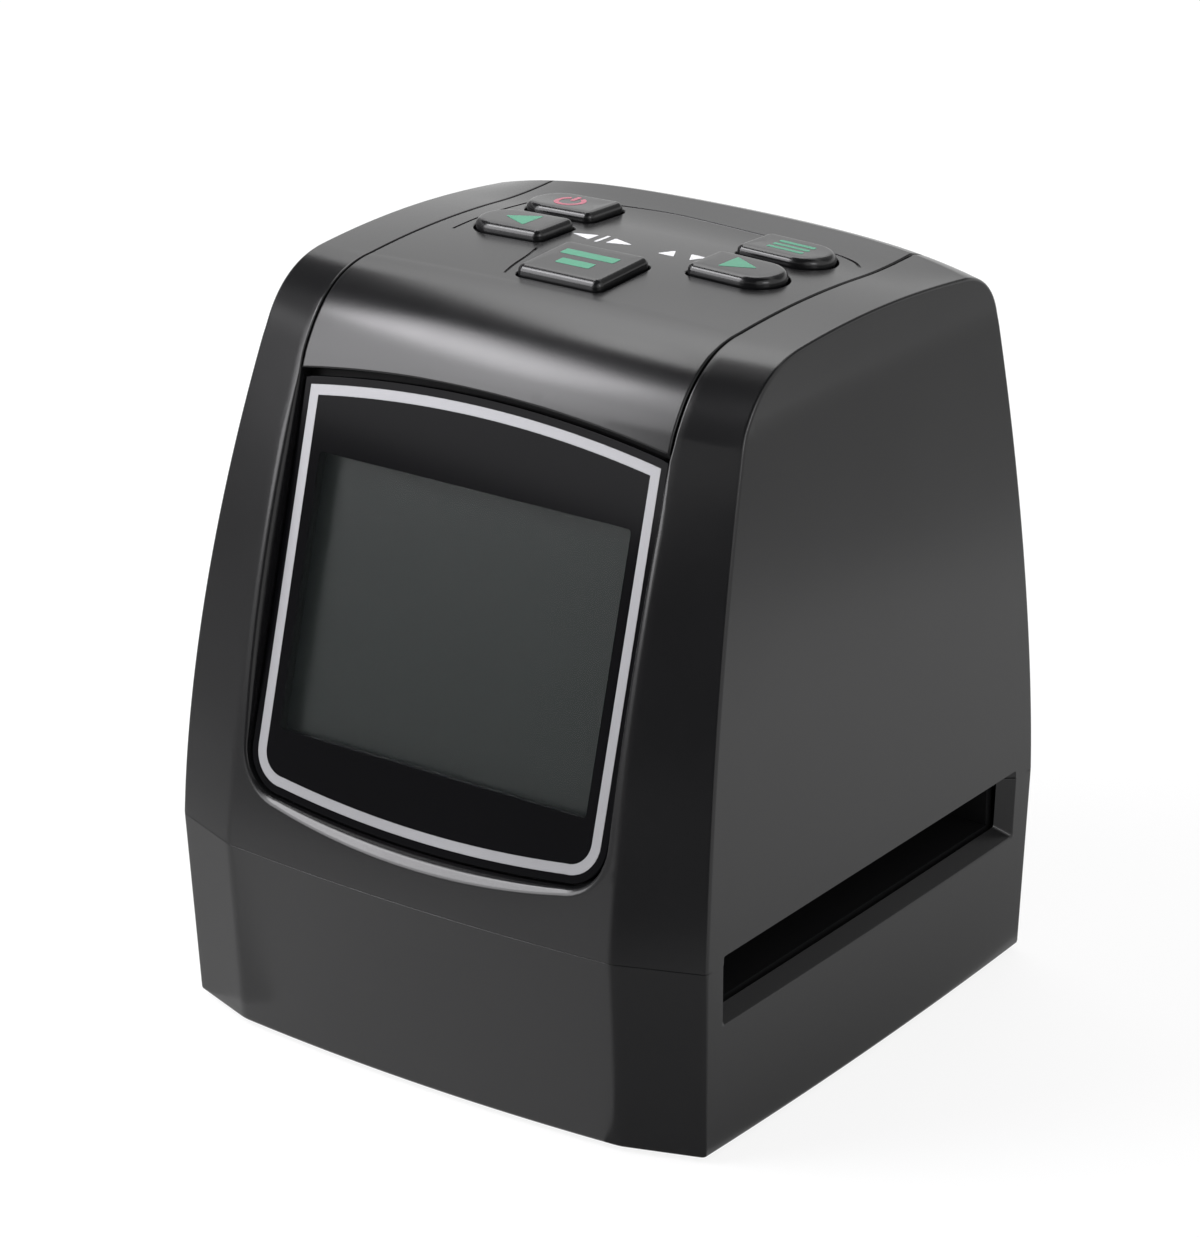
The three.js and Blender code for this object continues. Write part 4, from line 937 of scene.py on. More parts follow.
def upper_shell():
    body = Solid()
    low_z, rim_z = SHELL_LOW_Z, SHELL_LOW_Z + SEAM_RIM
    s = skin_levels(step=CLIMB_STEP)
    half = side_edge(s)[:, 0]
    rows = {side: fillet_rows(s, side) for side in (-1, 1)}

    # Skin outside: the rim along the seam, the opening for cover and window, the sockets' ways
    fronts = [level_row(s_at_front, z, half[0] - SIDE_FILLET) for z in (low_z, rim_z)]
    rears = [level_row(s_at_rear, z, half[-1] - SIDE_FILLET)[::-1] for z in (low_z, rim_z)]
    right = np.column_stack([half - SIDE_FILLET, s])
    walls = [right, rears[1], mirrored(right), fronts[1]]
    uv, mouth = pocket_mouth()
    opening = closed_behind(mouth, COVER_HALF + GAP, COVER_REAR_DROP + GAP, room=1, step=SKIN_STEP)
    radius, fits = opening_rim(uv, mouth, opening)
    sockets = socket_loops()
    holes = [offset(opening, radius)] + [offset(loop, RIM) for loop in sockets]
    outer_ids, opening_ids, *socket_ids = body.skin(
        [np.vstack(walls), *holes], skin_columns(SKIN_HALF), skin_levels(), keep_off=0.6)
    right_ids, rear_ids, left_ids, front_ids = split(outer_ids, walls)
    body.level([right_ids[0], right_ids[-1], left_ids[0], left_ids[-1]], rim_z)
    skin_edge = {1: right_ids, -1: left_ids[::-1]}

    # Skin inside, a wall's thickness in, with the same openings
    inner_half = half - WALL
    shrink = (inner_half[0] / (half[0] - SIDE_FILLET), 1)
    in_right = np.column_stack([inner_half, s])
    in_walls = [in_right, rears[0] * shrink, mirrored(in_right), fronts[0] * shrink]
    inner_ids, in_opening, *in_sockets = body.skin(
        [np.vstack(in_walls), opening, *sockets], skin_columns(SKIN_HALF, INSIDE_STEP),
        skin_levels(step=INSIDE_STEP), keep_off=1.0, inset=WALL)
    in_right_ids, in_rear, in_left_ids, in_front = split(inner_ids, in_walls)
    in_edge = {1: in_right_ids, -1: in_left_ids[::-1]}

    # Side walls and fillets
    notches, strips = {}, {}
    for side in (1, -1):
        boundary = rows[side][-1][:, 1:].copy()
        boundary[[0, -1], 1] = rim_z
        edge = notch_path(low_z, SLOT_TOP_Z, (boundary[-1, 0], boundary[0, 0]))
        wall_ids, notches[side] = side_wall(
            body, boundary, edge, body.places(in_edge[side])[:, 1:], in_edge[side], side)
        strips[side] = [skin_edge[side]]
        for row in rows[side][1:-1]:
            row[[0, -1], 2] = rim_z
            strips[side].append(body.add(row))
        strips[side].append(wall_ids)
        for a, b in zip(strips[side], strips[side][1:]):
            body.bridge(a, b, 0, closed=False)

    # The rim along the seam, round all four walls
    def corner(side, end):
        ring = [row[end] for row in strips[side]]
        ring = ring if (side > 0) == (end == 0) else ring[::-1]
        edge = body.places(ring)
        edge[:, 2] = low_z
        return ring, edge, [in_edge[side][end]] * len(ring)

    seam = [
        (front_ids, skin(*fronts[0].T), in_front), corner(1, 0), [part[::-1] for part in notches[1]],
        corner(1, -1), (rear_ids, skin(*rears[0].T), in_rear), corner(-1, -1), notches[-1], corner(-1, 0),
    ]
    rings, edges, inners = zip(*seam)
    body.rim(sum(rings, []), np.vstack(edges), sum(inners, []), SEAM_RIM)

    opening_wall(body, opening_ids, opening, in_opening, uv, radius, fits)
    for ring, loop, inner_ring in zip(socket_ids, sockets, in_sockets):
        body.rim(ring, skin(*loop.T), inner_ring, RIM)
    return body


# Base shell: its walls unrolled as p along the outline, anticlockwise from the rear's middle, and z
SIDE_RUN = SIDE_REAR_Y - SIDE_FRONT_Y - 2 * SIDE_FILLET
FRONT_RUN = SEAM_WIDTH - 2 * SIDE_FILLET
TURN_RUN = SIDE_FILLET * 1.6
RUNS = np.cumsum([0, FRONT_RUN / 2, TURN_RUN, SIDE_RUN, TURN_RUN, FRONT_RUN, TURN_RUN, SIDE_RUN, TURN_RUN,
                  FRONT_RUN / 2])


def on_wall(x, z, front, inset):
    s = s_at_front(x, z, inset, S_LEAN_TOP) if front else s_at_rear(x, z, inset, S_REAR)
    point = skin(x, s, inset)
    point[..., 2] = z
    return point


def section(p, z, inset=0, turn=SIDE_FILLET):
    """Points of the base's walls at places p along the outline and heights z."""
    p, z = np.broadcast_arrays(np.asarray(p, float), np.asarray(z, float))
    out = np.zeros(p.shape + (3,))
    half = side_half(z - STAND_OFF) - inset
    wide = half - turn
    edge = {}
    for front in (True, False):
        corner = on_wall(half, z, front, 0)
        corner[..., 1] += inset if front else -inset
        edge[front] = corner[..., 1]
    for i in range(len(RUNS) - 1):
        t = (p - RUNS[i]) / (RUNS[i + 1] - RUNS[i])
        here = (t >= -1e-9) & (t <= 1 + 1e-9)
        if not here.any():
            continue
        t, zz, w, h = t[here], z[here], wide[here], half[here]
        front_y, rear_y = edge[True][here], edge[False][here]
        if i in (0, 4, 8):
            start, end = {0: (0, -w), 4: (-w, w), 8: (w, 0)}[i]
            out[here] = on_wall(lerp(start, end, t), zz, i == 4, inset)
        elif i in (2, 6):
            y = lerp(front_y + turn, rear_y - turn, t if i == 6 else 1 - t)
            h = h + SIDE_BOW * 4 * t * (1 - t) * (1 - (zz - STAND_OFF) / SEAM_HEIGHT)
            out[here] = np.stack([h if i == 6 else -h, y, zz], -1)
        else:
            side, front = (-1 if i < 4 else 1), i in (3, 5)
            a = on_wall(side * w, zz, front, inset)
            b = np.stack([side * h, front_y if front else rear_y, zz], -1)
            c = b + np.array([0, turn if front else -turn, 0])
            share = (t if i in (1, 5) else 1 - t)[:, None]
            out[here] = bezier(a, b, c, share)
    return out


def section_normal(p, z, step=0.05):
    return normal_of(section, np.clip(p, step, RUNS[-1] - step), z, step)


def run_of_side(y, right):
    """Place p of a point y on a side wall."""
    share = (y - SIDE_FRONT_Y - SIDE_FILLET) / SIDE_RUN
    return lerp(RUNS[6], RUNS[7], share) if right else lerp(RUNS[3], RUNS[2], share)


def columns_of_runs():
    middle = (RUNS[4] + RUNS[5]) / 2
    fine = [middle + side * (FACET_BASE / 2 + FACET_SHIFT) + d for side in (-1, 1) for d in CREASE_STEPS]
    out = []
    for i, (a, b) in enumerate(zip(RUNS, RUNS[1:])):
        size = SKIN_STEP if i % 2 == 0 else TURN_RUN / 4
        out += [v for v in samples(a, b, size)[:-1] if min(abs(v - f) for f in fine) > 0.5 or v in fine]
    return np.array(sorted(out + fine))


def middle_of(node):
    low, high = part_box(node)
    return ((low + high) / 2 / MM).to_2d()


def middles(kind):
    """Middles of the four nodes of a kind that stand in the casing's corners."""
    return [middle_of(f"{kind}_{end}_{side}") for end in ("front", "rear") for side in ("left", "right")]


def base_top(columns, top_z, sill_z):
    """The walls' upper edge, unrolled, with the slot's notch in both sides."""
    corners = [(0, top_z)]
    for right, ends in ((False, (SLOT_REAR, SLOT_FRONT)), (True, (SLOT_FRONT, SLOT_REAR))):
        a, b = (run_of_side(y, right) for y in ends)
        corners += [(a, top_z), (a, sill_z), (b, sill_z), (b, top_z)]
    turned = softened(corners + [(RUNS[-1], top_z)], top_z)
    fine = []
    for a, b in zip(turned, turned[1:]):
        stops = [v for v in columns if a[0] + GAP < v < b[0] - GAP] if a[1] == b[1] == top_z else []
        fine += path([a] + [(v, top_z) for v in stops] + [b], SKIN_STEP)
    return np.array(fine + [turned[-1]])


def base_walls(body, low, top, levels, columns, inset=0):
    """One sheet round the four walls, between unrolled edges, closed where its ends meet at levels.
    Gives the ids of both edges."""
    ends = [np.column_stack([np.full(len(levels), p), levels]) for p in (RUNS[-1], 0)]
    loop = np.vstack([low, ends[0], top[::-1], ends[1][::-1]])
    rows = samples(STAND_OFF, BASE_TOP_Z, INSIDE_STEP)
    points, faces = fill([loop], columns, rows, keep_off=0.25)
    placed = section(*points.T, inset, GAP if inset else SIDE_FILLET)
    ids = body.add(placed, None if inset else section_normal(*points.T))
    a, b, c = len(low), len(low) + len(levels), len(low) + len(levels) + len(top)
    ids[a - 1], ids[b] = ids[0], ids[c - 1]
    for k in range(len(levels)):
        ids[a + k] = ids[c + len(levels) - 1 - k]
    for f in faces:
        body.face([ids[v] for v in f], 2 if inset else 0)
    return ids[:a - 1], ids[b:c][::-1][:-1]


def base_bottom(body, low_ids, low_edge, in_low):
    """Bottom plate and floor, with recesses for the feet and ways for the screws."""
    edge, end = (section(*low_edge[:-1].T, inset) for inset in (0, FOOT_RIM))
    ring = body.blend(low_ids, edge, end)
    feet = [circle(*p, FOOT_RADIUS + GAP, 48) for p in middles("foot")]
    holes = feet + [circle(*p, SCREW_WAY) for p in middles("case_screw")]
    loops = [end[:, :2]] + [offset(hole, RIM) for hole in holes]
    points, faces = fill(loops, samples(-40, 40, 4), samples(-42, 42, 4), keep_off=1.2)
    down = np.tile(DOWN, (len(points), 1))
    plate = body.sheet(flat_ring(points, STAND_OFF), faces, 0, down, ring)
    for k, (ids, hole) in enumerate(zip(split(plate, loops)[1:], holes)):
        deep = FOOT_RECESS if k < len(feet) else SEAM_Z - SEAT_DROP - STAND_OFF
        body.face(body.blind_hole(ids, flat_ring(hole, STAND_OFF), -DOWN, RIM, deep), 2)
    points, faces = fill([body.places(in_low)[:, :2]], samples(-38, 38, 5), samples(-40, 40, 5), keep_off=1.5)
    body.sheet(flat_ring(points, STAND_OFF + WALL), faces, 2, joined=in_low)


def base_shell():
    body = Solid()
    top_z, low_z, sill_z = BASE_TOP_Z, STAND_OFF, SILL_Z - SILL_DROP
    columns = columns_of_runs()
    top_edge = base_top(columns, top_z, sill_z)
    low_edge = np.column_stack([np.append(columns, RUNS[-1]), np.full(len(columns) + 1, low_z)])

    # Outside, with a wider rim along the slot's lower lip
    depth = (top_z - top_edge[:, 1]) / (top_z - sill_z)
    rims = lerp(SEAM_RIM, SILL_RIM, np.clip(depth, 0, 1) ** 6)
    top_in = offset(top_edge, rims, closed=False)
    rises = samples(low_z + FOOT_RIM, top_z - SEAM_RIM, INSIDE_STEP)[1:-1]
    low_ids, top_ids = base_walls(body, low_edge + (0, FOOT_RIM), top_in, rises, columns)

    # Inside, where the sill is higher
    inner_top = top_edge.copy()
    on_sill = top_edge[:, 1] < top_z - 0.01
    inner_top[on_sill, 1] += SILL_DROP * depth[on_sill]
    rises = samples(low_z + WALL, top_z, 4.0)[1:-1]
    in_low, in_top = base_walls(body, low_edge + (0, WALL), inner_top, rises, columns, WALL)
    body.rim(top_ids, section(*top_edge[:-1].T), in_top, rims[:-1], SILL_ROWS)
    base_bottom(body, low_ids, low_edge, in_low)
    return body


# Top cover: one curved plate with five openings and fine engraved lines
def cover_loop():
    xs = samples(-COVER_HALF, COVER_HALF, COVER_EDGE_STEP)
    front = np.column_stack([xs, cover_front(0, xs)])
    return closed_behind(front, COVER_HALF, COVER_REAR_DROP, room=REAR_ROOM, step=COVER_EDGE_STEP)


def button_outline(button, margin, steps=10):
    _, x, y, round_end = button
    width, depth = (BUTTON_LENGTH, BUTTON_DEPTH) if round_end else (SCAN_WIDTH, SCAN_DEPTH)
    full, soft = depth / 2 + margin, BUTTON_CORNER + margin
    right, left = (full if round_end > 0 else soft), (full if round_end < 0 else soft)
    hx, hy = width / 2 + margin, depth / 2 + margin
    return np.array(rounded_box(x - hx, x + hx, y - hy, y + hy, [left, right, right, left], steps))


BUTTONS = [
    ("power", -BUTTON_X, REAR_ROW_Y, -1), ("left", -BUTTON_X, FRONT_ROW_Y, -1),
    ("scan", 0, SCAN_Y, 0), ("right", BUTTON_X, FRONT_ROW_Y, 1), ("menu", BUTTON_X, REAR_ROW_Y, 1),
]


def on_skin(loop):
    """A loop of (x, y) places as (x, s)."""
    loop = np.asarray(loop, float)
    return np.column_stack([loop[:, 0], s_at_top(loop[:, 0], loop[:, 1])])


def smooth_line(points, step=0.9):
    """A curve through points, by halving with rounded corners, sampled evenly."""
    line = np.array(points, float)
    for _ in range(3):
        a, b = line[:-1], line[1:]
        cut = np.empty((2 * len(a), 2))
        cut[0::2], cut[1::2] = lerp(a, b, 0.25), lerp(a, b, 0.75)
        line = np.vstack([line[:1], cut, line[-1:]])
    lengths = np.concatenate([[0], np.cumsum(np.hypot(*np.diff(line, axis=0).T))])
    stops = samples(0, lengths[-1], step)
    return np.column_stack([np.interp(stops, lengths, line[:, 0]), np.interp(stops, lengths, line[:, 1])])


# Engraved lines: half their width, depth, rounding, and places (x, y) that they follow
GROOVE_HALF = 0.2
GROOVE_DEPTH = 0.3
GROOVE_RIM = 0.06
GROOVES = [
    [(-25.8, 1.2), (-26.2, 7.6), (-26.1, 14.0), (-25.9, 18.0)],
    [(-14.1, 23.1), (-5.6, 23.9), (3.2, 23.3), (11.8, 22.8), (20.3, 22.7), (25.5, 21.6), (27.2, 20.0)],
    [(-8.4, -10.4), (-9.2, -7.4), (-9.7, -3.5), (-10.6, -0.3)],
]


def top_cover():
    body = Solid()
    outer = cover_loop()
    through = [outer] + [counter(on_skin(button_outline(b, GAP))) for b in BUTTONS]
    grooves = []
    for points in GROOVES:
        line = smooth_line(points)
        left, right = (offset(line, side * GROOVE_HALF, closed=False) for side in (-1, 1))
        grooves.append(on_skin(counter(np.vstack([right, left[::-1]]))))
    columns = skin_columns(COVER_HALF, COVER_STEP)
    levels = skin_levels(outer[:, 1].min(), outer[:, 1].max(), COVER_STEP)
    loops = [offset(outer, -RIM)] + [offset(h, RIM) for h in through[1:]]
    rings = body.skin(loops + [offset(g, GROOVE_RIM) for g in grooves], columns, levels, keep_off=0.5)
    inners = body.skin(through, skin_columns(COVER_HALF, INSIDE_STEP), levels[::2], keep_off=1.0,
                       inset=COVER_THICK)
    for ring, loop, inner in zip(rings, through, inners):
        body.rim(ring, skin(*loop.T), inner, RIM)
    for ring, loop in zip(rings[len(through):], grooves):
        floor = body.blind_hole(ring, skin(*loop.T), -skin_normal(*loop.T), GROOVE_RIM, GROOVE_DEPTH)
        for i in range(len(floor) // 2 - 1):
            body.face([floor[i], floor[i + 1], floor[-2 - i], floor[-1 - i]], 1)
    return body


# Buttons: pillow caps whose faces lie parallel to the cover
CAP_EDGE = 1.0
CAP_ROWS = 6
CAP_FOOT = 3.0


def top_height(x, y):
    return skin(x, s_at_top(x, y))[..., 2]


def button_cap(button):
    body = Solid()

    def ring(margin, height):
        loop = button_outline(button, margin)
        return body.add(np.column_stack([loop, top_height(*loop.T) + height]))

    last = ring(0, -CAP_FOOT)
    body.face(last, 2)
    for k in range(CAP_ROWS + 1):
        a = math.pi / 2 * k / CAP_ROWS
        above = ring(-CAP_EDGE * (1 - math.cos(a)), BUTTON_RAISE - CAP_EDGE * (1 - math.sin(a)))
        body.bridge(last, above, 0)
        last = above
    loop = button_outline(button, -CAP_EDGE)
    points, faces = fill([loop], *grid_over(loop, 0.9), keep_off=0.35)
    height = top_height(*points.T) + BUTTON_RAISE
    body.sheet(np.column_stack([points, height]), faces, 0, joined=last)
    return body


# Printed signs: thin raised shapes that follow the surface under them
PRINT = 0.03
PRINT_SINK = 0.05


def printed(outlines, height_at, step=0.8):
    """A thin solid over each flat outline, standing PRINT over the surface."""
    body = Solid()
    for outline in outlines:
        loop = counter(np.array(outline))
        points, faces = fill([loop], *grid_over(loop, step), keep_off=step / 2)
        z = height_at(*points.T)
        top = body.sheet(np.column_stack([points, z + PRINT]), faces, 0)
        low = body.sheet(np.column_stack([points, z - PRINT_SINK]), faces[:, ::-1], 2)
        body.bridge(top[:len(loop)], low[:len(loop)], 1)
    return body


def bar(x, y, width, depth, radius=0.2):
    return rounded_box(x - width / 2, x + width / 2, y - depth / 2, y + depth / 2, [radius] * 4, 3)


def triangle(x, y, length, width, way):
    """A triangle whose point looks along way: 'left', 'right', 'up' or 'down'."""
    tip = [(length / 2, 0), (-length / 2, width / 2), (-length / 2, -width / 2)]
    turn = math.radians({"right": 0, "up": 90, "left": 180, "down": 270}[way])
    c, s = math.cos(turn), math.sin(turn)
    corners = [(x + a * c - b * s, y + a * s + b * c) for a, b in tip]
    around = zip(corners[-1:] + corners, corners, corners[1:] + corners[:1])
    return [point for three in around for point in rounded_corner(*three, 0.2, 3)]


def arc_band(x, y, radius, width, start, end, steps=30):
    return arc(x, y, radius + width / 2, start, end, steps) + arc(x, y, radius - width / 2, end, start, steps)


# Window: black printed plate, clear field in it, silver line, and the plate behind with its opening
def plate(outline, hole, w_front, w_back, edge=0.25, step=2.5):
    """A flat plate in the window's plane, between two depths, with a rounded front edge."""
    body = Solid()
    outer, *holes = loops = [counter(np.array(loop)) for loop in (outline, hole) if loop is not None]
    grid = grid_over(outer, step)

    def laid(loop, w):
        return on_display(flat_ring(loop, w))

    points, faces = fill([offset(outer, -edge), *holes], *grid, keep_off=0.8)
    front = split(body.sheet(laid(points, w_front), faces, 0, np.tile(OUT, (len(points), 1))), loops)
    points, faces = fill(loops, *grid, keep_off=0.8)
    back = split(body.sheet(laid(points, w_back), faces, 2), loops)
    front[0] = body.rounding(front[0], laid(outer, w_front), -OUT, edge)
    for ring, far in zip(front, back):
        body.bridge(ring, far, 1)
    return body


def window_box(side, end, radius):
    """The clear field's outline, wider by side and end and with its corners rounded."""
    half, low = WINDOW_HALF + side, WINDOW_LOW - LENS_BELOW - end
    return rounded_box(-half, half, low, end - WINDOW_TOP, [radius] * 4, 4)


WINDOW = window_box(0, 0, 0.6)
VIEW = window_box(VIEW_MARGIN, VIEW_MARGIN, 1.0)
SCREEN_EDGE = window_box(SCREEN_SIDE, SCREEN_END, 0.8)
SEAT_FRONT = -LENS_THICK - GAP
FIELD_GAP = 0.01                 # between the window's border and its clear field


# Feet: turned, with a shallow hollow below
def lathe(profile, centre, steps=48):
    """A solid turned about the upright through centre, from (radius, z) points, axis to axis."""
    body = Solid()
    last = None
    for radius, z in profile:
        ring = body.add(flat_ring(circle(*centre, radius, steps), z) if radius else [(*centre, z)])
        ring = ring if radius else ring * steps
        if last:
            body.bridge(last, ring, 0)
        last = ring
    return body


def foot(centre):
    top, r = STAND_OFF + FOOT_RECESS, FOOT_RADIUS
    return lathe([(0, top), (r - 0.2, top), (r, top - 0.2), (r, 0.5), (r - 0.15, 0.15), (r - 0.5, 0),
                  (2.6, 0), (2.3, 0.1), (2.1, 0.35), (0, 0.35)], centre)


# Pieces on the case
class Block:
    """A plain block with rounded edges."""

    def __init__(self, low, high, edge=0.15):
        self.low, self.size, self.edge = np.array(low), np.subtract(high, low), edge

    def build(self, name, material):
        made = bmesh.new()
        bmesh.ops.create_cube(made, size=1)
        for corner in made.verts:
            corner.co = Vector((self.low + (np.array(corner.co) + 0.5) * self.size) * MM)
        bmesh.ops.bevel(
            made, geom=made.edges[:], offset=self.edge * MM, segments=2, profile=0.5, affect="EDGES")
        mesh = bpy.data.meshes.new(name)
        made.to_mesh(mesh)
        made.free()
        mesh.materials.append(material)
        return add_object(name, mesh)


def place(body, name, finish, replaces, rides="case"):
    piece = body.build(name, finish)
    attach(piece, rides)
    if replaces:
        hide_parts(*replaces)


place(upper_shell(), "upper_casing", CASING, ["upper_shell"])
place(base_shell(), "lower_casing", CASING, ["base_shell"])
place(top_cover(), "top_plate", CASING, ["top_cover"])
place(plate(lens_outline(0), WINDOW, 0, -LENS_THICK), "window_border", LENS_INK, ["display_lens"])
place(plate(offset(WINDOW, -FIELD_GAP), None, -FIELD_GAP, -LENS_THICK, edge=FIELD_GAP),
      "window_field", CLEAR, None)
place(plate(lens_outline(LINE_OUTER), lens_outline(LINE_INNER), PRINT, -PRINT_SINK, edge=0.02),
      "window_line", SILVER, None)
place(plate(lens_outline(SEAT_MARGIN), VIEW, SEAT_FRONT, SEAT_FRONT - SEAT_THICK), "window_seat", INNER, None)
place(plate(SCREEN_EDGE, None, -SCREEN_DEPTH, -SCREEN_BACK), "screen_panel", SCREEN, ["lcd_panel"])
for end in ("front", "rear"):
    for side in ("left", "right"):
        node = f"foot_{end}_{side}"
        place(foot(middle_of(node)), f"rubber_{node}", RUBBER, [node])

# Contact tongue in the USB socket, upright in its middle and clear of its walls
TONGUE_HALF = 0.5
TONGUE_CLEAR = np.array([0, 0.6, 1.4]), np.array([0, 0.9, 1.4])
low, high = (np.array(corner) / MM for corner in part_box("usb_socket"))
low[0], high[0] = (low[0] + high[0]) / 2 + np.array([-TONGUE_HALF, TONGUE_HALF])
place(Block(low + TONGUE_CLEAR[0], high - TONGUE_CLEAR[1]), "usb_tongue", INNER, None)

# Buttons with their printed signs, and the signs printed on the cover
for button in BUTTONS:
    name = button[0]
    place(button_cap(button), f"{name}_cap", BUTTON, [f"{name}_button"], f"{name}_key")


def on_cap(x, y):
    return top_height(x, y) + BUTTON_RAISE


ARROW = 4.6, 4.8                 # length and width
POWER_STROKE = 0.7
SCAN_BARS = (1.6, 8.6, 1.8), (-1.7, 5.4, 1.8)          # place over the button's middle, width and depth
MENU_BARS = (-1.5, 5.6, 0.75), (0, 5.6, 0.75), (1.5, 5.6, 0.75)
SIGNS = {
    "power": (RED, [arc_band(-BUTTON_X, REAR_ROW_Y, 1.9, POWER_STROKE, 120, 420),
                    bar(-BUTTON_X, REAR_ROW_Y + 1.4, POWER_STROKE, 2.0)]),
    "left": (GREEN, [triangle(-BUTTON_X, FRONT_ROW_Y, *ARROW, "left")]),
    "scan": (GREEN, [bar(0, SCAN_Y + y, width, depth) for y, width, depth in SCAN_BARS]),
    "right": (GREEN, [triangle(BUTTON_X, FRONT_ROW_Y, *ARROW, "right")]),
    "menu": (GREEN, [bar(BUTTON_X, REAR_ROW_Y + y, width, depth) for y, width, depth in MENU_BARS]),
}
for name, (finish, outlines) in SIGNS.items():
    place(printed(outlines, on_cap), f"{name}_sign", finish, None, f"{name}_key")
mirror_x, mirror_y, mirror_reach = -5.7, 7.7, 3.2
flip_x, flip_y, flip_reach = 7.2, 7.9, 1.9
place(printed([triangle(mirror_x - mirror_reach, mirror_y, 3.6, 2.4, "left"),
               bar(mirror_x, mirror_y, 0.5, 3.2, 0.15),
               triangle(mirror_x + mirror_reach, mirror_y, 3.6, 2.4, "right")], top_height),
      "mirror_sign", WHITE, None)
place(printed([triangle(flip_x - flip_reach, flip_y, 2.4, 2.6, "up"),
               triangle(flip_x + flip_reach, flip_y, 2.4, 2.6, "down")], top_height),
      "flip_sign", WHITE, None)

# CAD nodes that stay get their materials here
FINISHES = [
    ("lcd_panel", SCREEN), ("lcd_frame", INNER), ("screw", STEEL), ("board", BOARD), ("chip", CHIP),
    ("image_sensor", CHIP), ("card_slot", STEEL), ("usb_socket", STEEL), ("video_jack", INNER),
    ("backlight_diffuser", WHITE), ("light_box", WHITE), ("backlight_led", WHITE), ("objective_lens", CLEAR),
    ("foot", RUBBER), ("switch", STEEL),
]
for name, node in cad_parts.items():
    finish = next((mat for key, mat in FINISHES if key in name), INNER)
    node.data.materials.clear()
    node.data.materials.append(finish)


# Floor, surround, cards, lamps and camera
AIM = Vector((0, 0, 0.055))
SQUARE = (-1, -1), (1, -1), (1, 1), (-1, 1)
MAT_LEVEL = 0.0004               # of the cards that lie on the floor
CARD_DISTANCE = 0.7
GLOW_DISTANCE = 0.62
LAMP_TINT = (0.98, 0.972, 1.0)


def stage_sheet(name, corners, mat):
    mesh = bpy.data.meshes.new(name)
    mesh.from_pydata(corners, [], [tuple(range(len(corners)))])
    mesh.materials.append(mat)
    piece = add_object(name, mesh)
    return piece


def floor(reach=3.0, glow=0.86, shadow_share=0.16):
    """White floor: matt for the light that it sends on, and glowing where it is seen, with a share of
    the object's shadow."""
    mat = bpy.data.materials.new("floor_white")
    tree = Tree(mat, bare=True)
    matt = tree.add("BsdfDiffuse", "BSDF", {"Color": (0.93, 0.93, 0.93, 1)})
    pale = tree.add("BsdfDiffuse", "BSDF", {"Color": (shadow_share, shadow_share, shadow_share, 1)})
    light = tree.add("Emission", "Emission", {"Strength": glow})
    seen = tree.add("AddShader", "Shader", {0: pale, 1: light})
    tree.finish(tree.add("MixShader", "Shader", {"Fac": tree.direct_rays(), 1: matt, 2: seen}))
    stage_sheet("floor", [(x * reach, y * reach, 0) for x, y in SQUARE], mat)


def card(name, corners, shade):
    """A card that only shows in reflections, as photographers set beside glossy things, of one shade
    or with one for each corner."""
    mat = bpy.data.materials.new(name)
    tree = Tree(mat, bare=True)
    tone = tree.nodes.new("ShaderNodeAttribute")
    tone.attribute_name = "shade"
    tree.finish(tree.add("Emission", "Emission", {"Strength": tone.outputs["Fac"]}))
    piece = stage_sheet(name, corners, mat)
    values = piece.data.attributes.new("shade", "FLOAT", "POINT")
    values.data.foreach_set("value", [shade] * len(corners) if isinstance(shade, float) else shade)
    piece.visible_camera = piece.visible_diffuse = piece.visible_shadow = piece.visible_transmission = False


def way_to(azimuth, elevation):
    """A direction; azimuth from the front, positive to the right, degrees."""
    a, e = math.radians(azimuth), math.radians(elevation)
    return Vector((math.sin(a) * math.cos(e), -math.cos(a) * math.cos(e), math.sin(e)))


def hung_card(name, azimuth, elevation, width, height, shade):
    """A card that faces the object."""
    way = way_to(azimuth, elevation)
    across = way.cross(Vector((0, 0, 1))).normalized() * width / 2
    up = across.cross(way).normalized() * height / 2
    centre = AIM + way * CARD_DISTANCE
    card(name, [centre + across * x + up * y for x, y in SQUARE], shade)


def on_floor(*places):
    """Corners on the floor."""
    return [(x, y, MAT_LEVEL) for x, y in places]


def fan(azimuths, reaches):
    """Corners on the floor, between two azimuths and two distances."""
    (a, b), (near, far) = azimuths, reaches
    return on_floor(*((way_to(azimuth, 0) * reach).xy
                      for azimuth, reach in ((a, near), (b, near), (b, far), (a, far))))


def ways(*directions, distance):
    """Corners in some directions (azimuth, elevation) from the object."""
    return [AIM + way_to(*d) * distance for d in directions]


def surround(diffuse=0.5):
    world = bpy.data.worlds.new("studio")
    bpy.context.scene.world = world
    tree = Tree(world)
    level = tree.add("MapRange", "Result", {"To Min": diffuse, "To Max": 1, "Value": tree.direct_rays()})
    tree.feed(tree.nodes["Background"], {"Color": (1, 1, 1, 1), "Strength": level})


def lamp(name, azimuth, elevation, distance, size, power):
    """A soft box."""
    data = bpy.data.lights.new(name, "AREA")
    data.shape = "RECTANGLE"
    data.size, data.size_y = size
    data.energy = power
    data.color = LAMP_TINT
    way = way_to(azimuth, elevation)
    piece = add_object(name, data)
    piece.location = AIM + way * distance
    piece.rotation_euler = (-way).to_track_quat("-Z", "Y").to_euler()


